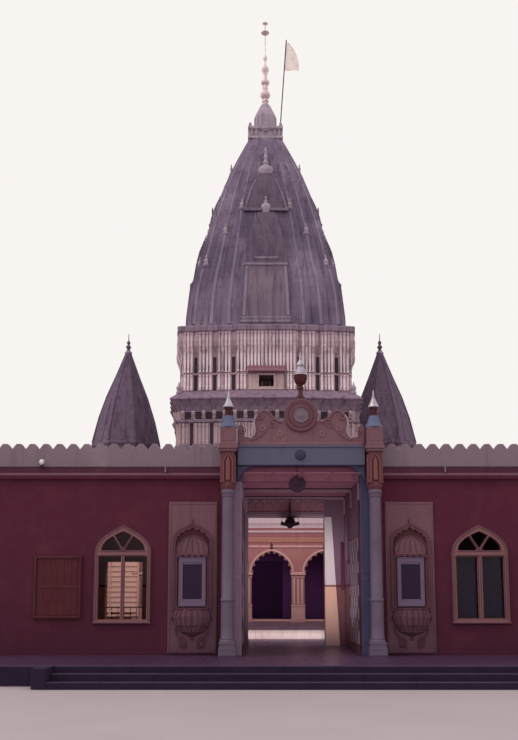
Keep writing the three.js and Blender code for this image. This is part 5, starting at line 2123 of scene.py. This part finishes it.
@dataclass
class SideSpires:
    """The two small stone spires on the shrine's roof."""

    centres: tuple[Pair, ...] = ((-7.02, 15.5), (4.4, 15.5))
    drum_half: float = 1.4
    foot: float = 8.62
    course: float = 0.36
    profile: tuple[Pair, ...] = ((1.42, 8.62), (1.17, 9.77), (0.87, 10.77), (0.49, 11.77), (0.1, 12.87))

    def build(self) -> None:
        """Cuts courses into both spires and adds ribs, niches and finials."""
        for name in ("left", "right"):
            node = f"side_spire_{name}"
            skin = jointed(from_node(node), self.foot + 0.1, 12.8, self.course, 0.014, 0.008)
            add(f"{node}_courses", softened(skin, 0.012, 1, 35), SPIRELET_STONE, node)
        corner = 1 / math.cos(math.pi / 8)
        line = [(0, -half * corner - 0.005, z) for half, z in self.profile]
        rib = swept(line, 0.1, 0.05, 0.35)
        ribs = [shifted(x, y) @ spun(i + 0.5, 8) for x, y in self.centres for i in range(8)]
        add("spirelet_arrises", repeated(rib, ribs), SPIRELET_STONE)
        flats = [shifted(x, y) @ spun(i, 8) for x, y in self.centres for i in range(8)]
        band = [(0, -half - 0.004, z) for half, z in self.profile]
        middle = swept(band, 0.34, 0.03, 0.25)
        add("spirelet_bands", repeated(middle, flats), SPIRELET_STONE)
        arch = Arch(0.26, 0, 1.5, 0.35)
        niche = joined([
            put(ribbon(arch.path(0.04), 0.08, -0.05, 0), shifted(0, 0, 5.7)),
            block((-0.4, -0.07, 5.6), (0.4, 0, 5.7), 0.015),
            block((-0.46, -0.06, 7.72), (0.46, 0, 7.8), 0.015),
            block((-0.56, -0.03, 4.4), (-0.46, 0, 8.3), 0.012),
            block((0.46, -0.03, 4.4), (0.56, 0, 8.3), 0.012),
        ])
        shade_plate = put(cut_out([*arch.path(0), (0, 0)], -0.01, 0), shifted(0, 0, 5.7))
        places = [place @ shifted(0, -self.drum_half) for place in flats]
        add("spirelet_niches", repeated(niche, places), OLD_PLASTER)
        add("spirelet_fields", repeated(shade_plate, places), SLOT_SHADE)
        collar = turned(
            [(0, 12.78), (0.13, 12.8), (0.17, 12.84), (0.165, 12.88), (0.1, 12.92), (0, 12.93)], 20,
        )
        add("spirelet_collars", repeated(collar, [shifted(x, y) for x, y in self.centres]), CAP_STONE)


@dataclass
class Tower:
    """The main tower: storey, eave, drum, spire and everything on them."""

    axis: Pair = (-0.81, 13.3)
    bounds: Triple = (0.815, 0.588, 0.363)
    course: float = 0.46
    joint: float = 0.016
    joint_depth: float = 0.006
    storey_half: float = 3.40
    drum_half: float = 3.24
    strip_width: float = 0.09
    strip_pitch: float = 0.13
    slot_width: float = 0.13
    spire_foot: float = 12.42
    rib_shares: tuple[float, ...] = (0.2, 0.475, 0.7, 0.92)
    ledges: tuple[Pair, ...] = ((15.0, 0.9), (16.45, 0.7), (17.65, 0.475))
    urns: tuple[Triple, ...] = ((2.31, 17.38, 0.205), (1.5, 19.165, 0.325))
    collar: float = 0.58
    tiers: tuple[Triple, ...] = (
        (17.5, 0.9, 2.37), (18.0, 0.78, 2.285), (18.55, 0.64, 2.13), (19.1, 0.43, 1.94),
    )

    def build(self) -> None:
        """Models and dresses the tower from the storey up."""
        self.storey()
        self.eave()
        self.drum()
        self.spire()
        self.crown()
        self.flag()

    def about(self, turns: int) -> Matrix:
        """A quarter turn about the tower's axis of a piece drawn round the origin."""
        return shifted(self.axis[0], self.axis[1]) @ quarter(turns)

    def faces(self, *places: Matrix) -> list[Matrix]:
        """The same places on all four faces."""
        return [self.about(turns) @ place for turns in range(4) for place in places]

    def around(self, model: Piece, place: Matrix = IDENTITY) -> list[Piece]:
        """Copies of a model on all four faces; the model is used up.

        Args:
            model: The piece.
            place: Where it stands before the face is turned.

        Returns:
            The copies.
        """
        copies = [twin(model, there) for there in self.faces(place)]
        discard(model)
        return copies

    def out(self, skin: Skin, across: float, z: float) -> float:
        """How far the front face lies from the axis at a place on it."""
        y = skin.front(self.axis[0] + across, z)
        return 0 if y is None else self.axis[1] - y

    def rhythm(self, half: float) -> tuple[list[float], list[float]]:
        """Spaces strips and dark slots across the stepped face.

        Args:
            half: Half width of the plan.

        Returns:
            Places of the strips and of the slots along the face.
        """
        edges = [0, *(half * share for share in reversed(self.bounds)), half]
        strips, slots = [0], []
        for band, (start, end) in enumerate(pairwise(edges)):
            if band:
                slots.append(start + self.slot_width / 2 + 0.02)
                start += self.slot_width + 0.05
            else:
                start += self.strip_pitch - self.strip_width / 2
            count = max(1, round((end - 0.02 - start) / self.strip_pitch))
            step = (end - 0.02 - start) / count
            strips += [start + (i + 0.5) * step for i in range(count)]
        mirrored = [-place for place in strips if place > 0]
        return strips + mirrored, [*slots, *(-place for place in slots)]

    def row(
        self, name: str, model: Piece, skin: Skin, z: float, spots: Sequence[float], finish: Finish,
        skip: float = 0.0,
    ) -> None:
        """Copies a strip to the same places on all four faces.

        Args:
            name: Name of the joined piece.
            model: The strip, drawn with the wall at Y = 0; it is used up.
            skin: Surface that it stands on.
            z: Height where the surface is measured.
            spots: Places along the face.
            finish: Its finish.
            skip: Half width left free in the middle of the front face.
        """
        places = []
        for turns in range(4):
            for across in spots:
                if turns == 0 and abs(across) < skip:
                    continue
                places.append(self.about(turns) @ shifted(across, -self.out(skin, across or 0.01, z)))
        add(name, repeated(model, places), finish)

    def storey(self) -> None:
        """Covers the lower storey with strips, slots, niches and string courses."""
        dress_node("tower_lower_storey", RECESS_PLASTER)
        skin = Skin("tower_lower_storey")
        strips, slots = self.rhythm(self.storey_half)
        tiers = ((4.42, 5.95), (6.1, 7.45), (7.6, 8.45))
        for i, (low, high) in enumerate(tiers):
            model = standing([
                (0, low), (0.06, low + 0.02), (0.06, low + 0.14), (0.04, low + 0.18), (0.04, high - 0.16),
                (0.065, high - 0.1), (0.065, high),
            ], self.strip_width, 0.01)
            self.row(f"storey_strips_{i}", model, skin, 6.5, strips, OLD_PLASTER)
            model = standing([(0.006, low), (0.006, high)], self.slot_width)
            self.row(f"storey_slots_{i}", model, skin, 6.5, slots, SLOT_SHADE)
        edges = [0, *(self.storey_half * share for share in reversed(self.bounds)), self.storey_half]
        for i, z in enumerate((5.95, 7.45, 8.45)):
            for band, (start, end) in enumerate(pairwise(edges)):
                width = end - start + 0.05
                model = standing(
                    [(0, z), (0.09, z + 0.03), (0.1, z + 0.1), (0.05, z + 0.14), (0, z + 0.15)], width, 0.006,
                )
                middle = (start + end) / 2
                self.row(f"storey_string_{i}_{band}", model, skin, 6.5, (middle, -middle), EAVE_STONE)
        arch = Arch(0.17, 0, 0.85, 0.2)
        niche = joined([
            ribbon(arch.path(0.03), 0.06, -0.11, 0), block((-0.27, -0.13, -0.1), (0.27, 0, 0), 0.012),
            block((-0.27, -0.13, 1.1), (0.27, 0, 1.18), 0.012), cut_out([*arch.path(0), (0, 0)], -0.075, 0),
        ])
        middles = [(edges[1] + edges[2]) / 2 + 0.08, (edges[2] + edges[3]) / 2 + 0.08, 0]
        spots = (*middles, *(-m for m in middles[:2]))
        places = self.faces(
            *(shifted(x, -self.out(skin, x or 0.01, 6.5), z) for x in spots for z in (4.62, 6.22))
        )
        add("storey_niches", repeated(niche, places), PANEL_PLASTER)

    def eave(self) -> None:
        """Eases the eave and cornice slabs, and sets brackets, plates of painted shade between them and
        corner buds.
        """
        add_eased("eave_slab", "tower_eave", EAVE_STONE, 0.02, 2, 25)
        add_eased("cornice_slab", "spire_cornice", EAVE_STONE, 0.015, 2, 25)
        skin = Skin("tower_lower_storey")
        bracket = standing([
            (0, 8.6), (0.06, 8.62), (0.1, 8.7), (0.18, 8.78), (0.2, 8.87), (0.14, 8.922), (0, 8.922),
        ], 0.12, 0.012)
        spots = [i * 0.4 + 0.01 for i in range(-8, 9)]
        self.row("eave_brackets", bracket, skin, 8.0, spots, OLD_PLASTER)
        # Dark plates between the brackets are painted shade under the eave.
        shade_plate = standing([(0.012, 8.61), (0.012, 8.9)], 0.24)
        self.row("eave_shadow_plates", shade_plate, skin, 8.0, [i * 0.4 + 0.21 for i in range(-8, 8)], SLOT_SHADE)
        bud = turned([
            (0, 0), (0.1, 0), (0.11, 0.08), (0.06, 0.11), (0.1, 0.18), (0.1, 0.26), (0.04, 0.34),
            (0.015, 0.46), (0, 0.47),
        ], 14)
        add("eave_buds", repeated(bud, self.faces(shifted(-3.36, -3.36, 9.62))), CAP_STONE)

    def drum(self) -> None:
        """Lines the drum with light pilasters, dark slots and the window's surround."""
        dress_node("tower_drum", RECESS_PLASTER)
        skin = Skin("tower_drum")
        strips, slots = self.rhythm(self.drum_half)
        base = self.out(skin, 0.01, 10.8)
        flare = [
            (self.out(skin, 0.01, z) - base + 0.05, z)
            for z in (10.47, 11.0, 11.2, 11.34, 11.48, 11.68, 11.85, 11.94)
        ]
        tall = standing([
            (0.075, 10.46), (0.075, 10.56), *flare, (flare[-1][0] + 0.02, 11.95),
            (flare[-1][0] + 0.02, 12.035),
        ], self.strip_width, 0.01)
        short = standing(
            [(0.08, 9.76), (0.08, 9.9), (0.05, 9.93), (0.05, 10.3), (0.07, 10.31), (0.07, 10.37)],
            self.strip_width, 0.01,
        )
        dark = standing([(0.008, 10.46), (0.008, 11.18), (0.03, 11.24)], self.slot_width)
        low_dark = standing([(0.008, 9.76), (0.008, 10.36)], self.slot_width)
        self.row("drum_pilasters", tall, skin, 10.8, strips, DRUM_PLASTER)
        self.row("drum_foot_blocks", short, skin, 10.2, strips, DRUM_PLASTER, 0.72)
        self.row("drum_slots", dark, skin, 10.8, slots, SLOT_SHADE)
        self.row("drum_foot_slots", low_dark, skin, 10.2, slots, SLOT_SHADE)
        x, front = self.axis[0], self.axis[1] - self.out(skin, 0.5, 10.2)
        frames = [
            block((x - 0.7, front - 0.08, 9.75), (x + 0.7, front, 9.8), 0.008),
            block((x - 0.68, front - 0.045, 9.8), (x - 0.29, front, 10.375), 0.012),
            block((x + 0.29, front - 0.045, 9.8), (x + 0.68, front, 10.375), 0.012),
            bars((x - 0.36, 9.8), (x + 0.36, 10.4), 0.075, front - 0.07, front, 0.01),
        ]
        add("drum_window_frame", frames, WINDOW_PLASTER)
        hood = standing(
            [(0, 10.42), (0.26, 10.42), (0.27, 10.46), (0.17, 10.56), (0.14, 10.68), (0, 10.68)], 1.42, 0.01,
        )
        add("hood", put(hood, shifted(x, front)), HOOD_PAINT)

    def spire(self) -> None:
        """Cuts fine courses into the spire and adds ribs, panel frames and ledge buds."""
        nodes = ["shikhara", "face_spire_front", "face_spire_right", "face_spire_rear", "face_spire_left"]
        whole = Skin("shikhara")
        for node in nodes:
            low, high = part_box(node)
            deep, finish = (self.joint_depth, SPIRE_STONE) if node == "shikhara" else (
                self.joint_depth / 3, PANEL_STONE,
            )
            skin = jointed(from_node(node), low[2] + 0.2, high[2] - 0.3, self.course, self.joint, deep)
            add(f"{node}_courses", skin, finish, node)
        heights = [self.spire_foot + 0.05 + i * 0.55 for i in range(15)]
        halves = {z: self.half_at(whole, z) for z in heights}
        ribs = []
        for share in self.rib_shares:
            for side in (-1, 1):
                line = [
                    (side * share * halves[z], -self.out(whole, side * share * halves[z], z), z)
                    for z in heights
                ]
                model = swept(line, 0.13, 0.05, 0.5)
                ribs += self.around(model)
        # The ribs are painted paler as a highlight on their edges.
        add("spire_ribs", ribs, RIB_HIGHLIGHT_STONE)
        self.ledge_buds(whole)
        front = Skin("face_spire_front")
        bands = []
        for z, half, depth in (
            (12.46, 1.0, 0.05), (12.62, 0.97, 0.02), (14.86, 0.86, 0.05), (15.14, 0.46, 0.04),
        ):
            model = standing([(0, z), (depth, z + 0.02), (depth, z + 0.09), (0, z + 0.12)], 2 * half, 0.008)
            out = self.out(front, 0.01, z + 0.05) - 0.012
            bands += self.around(model, shifted(0, -out))
        add("face_bands", bands, RIB_HIGHLIGHT_STONE)
        posts = []
        for side in (-1, 1):
            line = [
                (side * w, -self.out(front, side * w * 0.98, z) - 0.004, z)
                for w, z in ((0.86, 12.75), (0.83, 13.5), (0.79, 14.2), (0.755, 14.84))
            ]
            model = swept(line, 0.12, 0.05, 0.9)
            posts += self.around(model)
        add("face_posts", posts, RIB_HIGHLIGHT_STONE)
        ridges = []
        for side in (-1, 1):
            line = [(side * (w - 0.03), -out - 0.008, z) for z, w, out in self.tiers]
            model = swept(line, 0.09, 0.05, 0.7)
            ridges += self.around(model)
        base = standing([(0, 17.5), (0.05, 17.52), (0.06, 17.6), (0, 17.64)], 1.84, 0.01)
        ridges += self.around(base, shifted(0, -2.36))
        add("face_ridges", ridges, RIB_HIGHLIGHT_STONE)
        urn = turned([
            (0, -0.2), (0.64, -0.2), (0.62, -0.02), (0.7, 0.04), (0.66, 0.14), (0.78, 0.6), (0.98, 1.2),
            (1.06, 1.45), (1.0, 1.7), (0.82, 2.0), (0.6, 2.2), (0.32, 2.42), (0.3, 2.5), (0.42, 2.62),
            (0.4, 2.78), (0.22, 2.95), (0.2, 3.3), (0.3, 3.45), (0.26, 3.6), (0.16, 3.75), (0.14, 4.2),
            (0.2, 4.3), (0.12, 4.45), (0.08, 4.88), (0, 4.9),
        ], 20)
        places = self.faces(*(shifted(0, -out, z) @ Matrix.Scale(radius, 4) for out, z, radius in self.urns))
        add("face_urns", repeated(urn, places), CAP_STONE)

    def half_at(self, skin: Skin, z: float) -> float:
        """Half width of the spire's plan at a height, without its steps.

        Args:
            skin: The spire's surface.
            z: The height.

        Returns:
            Half its width.
        """
        low, high = 0.3, 3.4
        for _ in range(14):
            middle = (low + high) / 2
            y = skin.front(self.axis[0] + middle, z)
            inside = y is not None and self.axis[1] - y > middle * 0.9
            low, high = (middle, high) if inside else (low, middle)
        return low

    def ledge_buds(self, skin: Skin) -> None:
        """Sets a small ribbed bud on each ledge of the spire.

        Args:
            skin: The spire's surface.
        """
        bud = turned([
            (0, 0), (0.09, 0), (0.125, 0.04), (0.13, 0.09), (0.07, 0.13), (0.1, 0.2), (0.09, 0.27),
            (0.03, 0.33), (0.04, 0.38), (0.01, 0.5), (0, 0.51),
        ], 12)
        places = []
        for z, share in self.ledges:
            across = share * self.half_at(skin, z + 0.1)
            out = self.out(skin, across, z + 0.1)
            places += self.faces(*(shifted(side * across, -out, z + 0.02) for side in (-1, 1)))
        add("ledge_buds", repeated(bud, places), CAP_STONE)

    def crown(self) -> None:
        """Turns the neck, the ribbed cushion, the gilt finial and its discs."""
        x, y = self.axis
        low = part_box("spire_neck")[0]
        add_eased("neck_block", "spire_neck", CAP_STONE, 0.02, 2, 20)
        baluster = turned([
            (0, 0.13), (0.06, 0.13), (0.065, 0.16), (0.04, 0.19), (0.055, 0.25), (0.06, 0.3), (0.035, 0.36),
            (0.055, 0.4), (0.055, 0.43), (0, 0.43),
        ], 10)
        places = self.faces(*(shifted(i * 0.2, -0.685, low[2]) for i in (-3, -2, 2, 3)))
        add("neck_balusters", repeated(baluster, places), CAP_STONE)
        arch = Arch(0.11, 0.14, 0.28, 0.1)
        niche = joined([
            put(ribbon(arch.path(0.03), 0.05, -0.7, -0.63), shifted(0, 0, low[2])),
            block((-0.2, -0.74, low[2] + 0.4), (0.2, -0.63, low[2] + 0.44), 0.008),
        ])
        add("neck_niches", repeated(niche, self.faces(IDENTITY)), CAP_STONE)
        bud = turned([
            (0, 0), (0.06, 0), (0.075, 0.04), (0.05, 0.07), (0.07, 0.11), (0.06, 0.15), (0.02, 0.2),
            (0, 0.24),
        ], 12)
        places = self.faces(*(shifted(across, -0.66, low[2] + self.collar) for across in (-0.66, 0)))
        add("neck_buds", repeated(bud, places), CAP_STONE)
        leaf = swept([
            (0, -0.475, 0.6), (0, -0.485, 0.75), (0, -0.485, 1.3), (0, -0.405, 1.51), (0, -0.315, 1.7),
            (0, -0.225, 1.89),
        ], 0.1, 0.03, 0.45)
        places = [shifted(x, y, low[2]) @ spun(i, 16) for i in range(16)]
        add("dome_leaves", repeated(leaf, places), CAP_STONE)
        ring = turned([(0.4, 0.6), (0.5, 0.6), (0.52, 0.64), (0.5, 0.68), (0.49, 0.72), (0.4, 0.72)], 28)
        add("dome_ring", put(ring, shifted(x, y, low[2])), CAP_STONE)
        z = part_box("kalash")[0][2]
        finial = turned([
            (0, 0), (0.13, 0), (0.135, 0.05), (0.1, 0.08), (0.1, 0.12), (0.15, 0.14), (0.15, 0.17),
            (0.095, 0.21), (0.1, 0.28), (0.17, 0.33), (0.215, 0.4), (0.22, 0.48), (0.19, 0.56), (0.12, 0.64),
            (0.1, 0.7), (0.125, 0.76), (0.12, 0.86), (0.095, 0.93), (0.15, 0.98), (0.185, 1.04), (0.18, 1.12),
            (0.11, 1.2), (0.075, 1.27), (0.07, 1.46), (0.12, 1.55), (0.16, 1.63), (0.16, 1.72), (0.1, 1.82),
            (0.05, 1.9), (0.03, 2.02), (0.05, 2.12), (0.088, 2.2), (0.085, 2.29), (0.04, 2.38), (0.02, 2.46),
            (0.02, 3.38), (0.12, 3.42), (0.185, 3.475), (0.12, 3.53), (0.02, 3.58), (0.02, 3.87), (0.08, 3.9),
            (0.12, 3.935), (0.08, 3.97), (0, 4.005),
        ], 28, (x, y, z))
        add("kalash_beads", finial, GILT, "kalash")

    def flag(self) -> None:
        """Hangs the flag from its leaning pole, rippled by a light wind."""
        add("flag_staff", smooth(softened(from_node("flag_pole"), 0.004, 2)), OLD_BRONZE, "flag_pole")
        low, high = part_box("flag")
        length, height = high[0] - low[0], high[2] - low[2]
        lean = 0.31 / 4.55
        sheet = added(bpy.ops.mesh.primitive_grid_add, x_subdivisions=24, y_subdivisions=36, size=1.0)
        width = length - height * lean
        for vertex in sheet.data.vertices:
            across, up = vertex.co.x + 0.5, vertex.co.y + 0.5
            reach = width * (1.0 - 0.95 * max(0, up - 0.03) ** 2.2)
            ripple = 0.035 * across * math.sin(7.5 * across + 2.6 * up)
            vertex.co = (
                low[0] + up * height * lean + across * reach, (low[1] + high[1]) / 2 + ripple,
                low[2] + up * height + 0.02 * across * (1 - up),
            )
        smooth(sheet, 180)
        add("flag_sheet", sheet, FLAG_COTTON, "flag")


def main() -> None:
    """Builds the studio, then each part of the temple in order."""
    logging.basicConfig(level=logging.INFO, format="%(name)s %(message)s")
    for part in (Studio(), Terrace(), Range(), Gate(), Passage(), Shrine(), Tower(), SideSpires()):
        part.build()


if __name__ == "__main__":
    main()
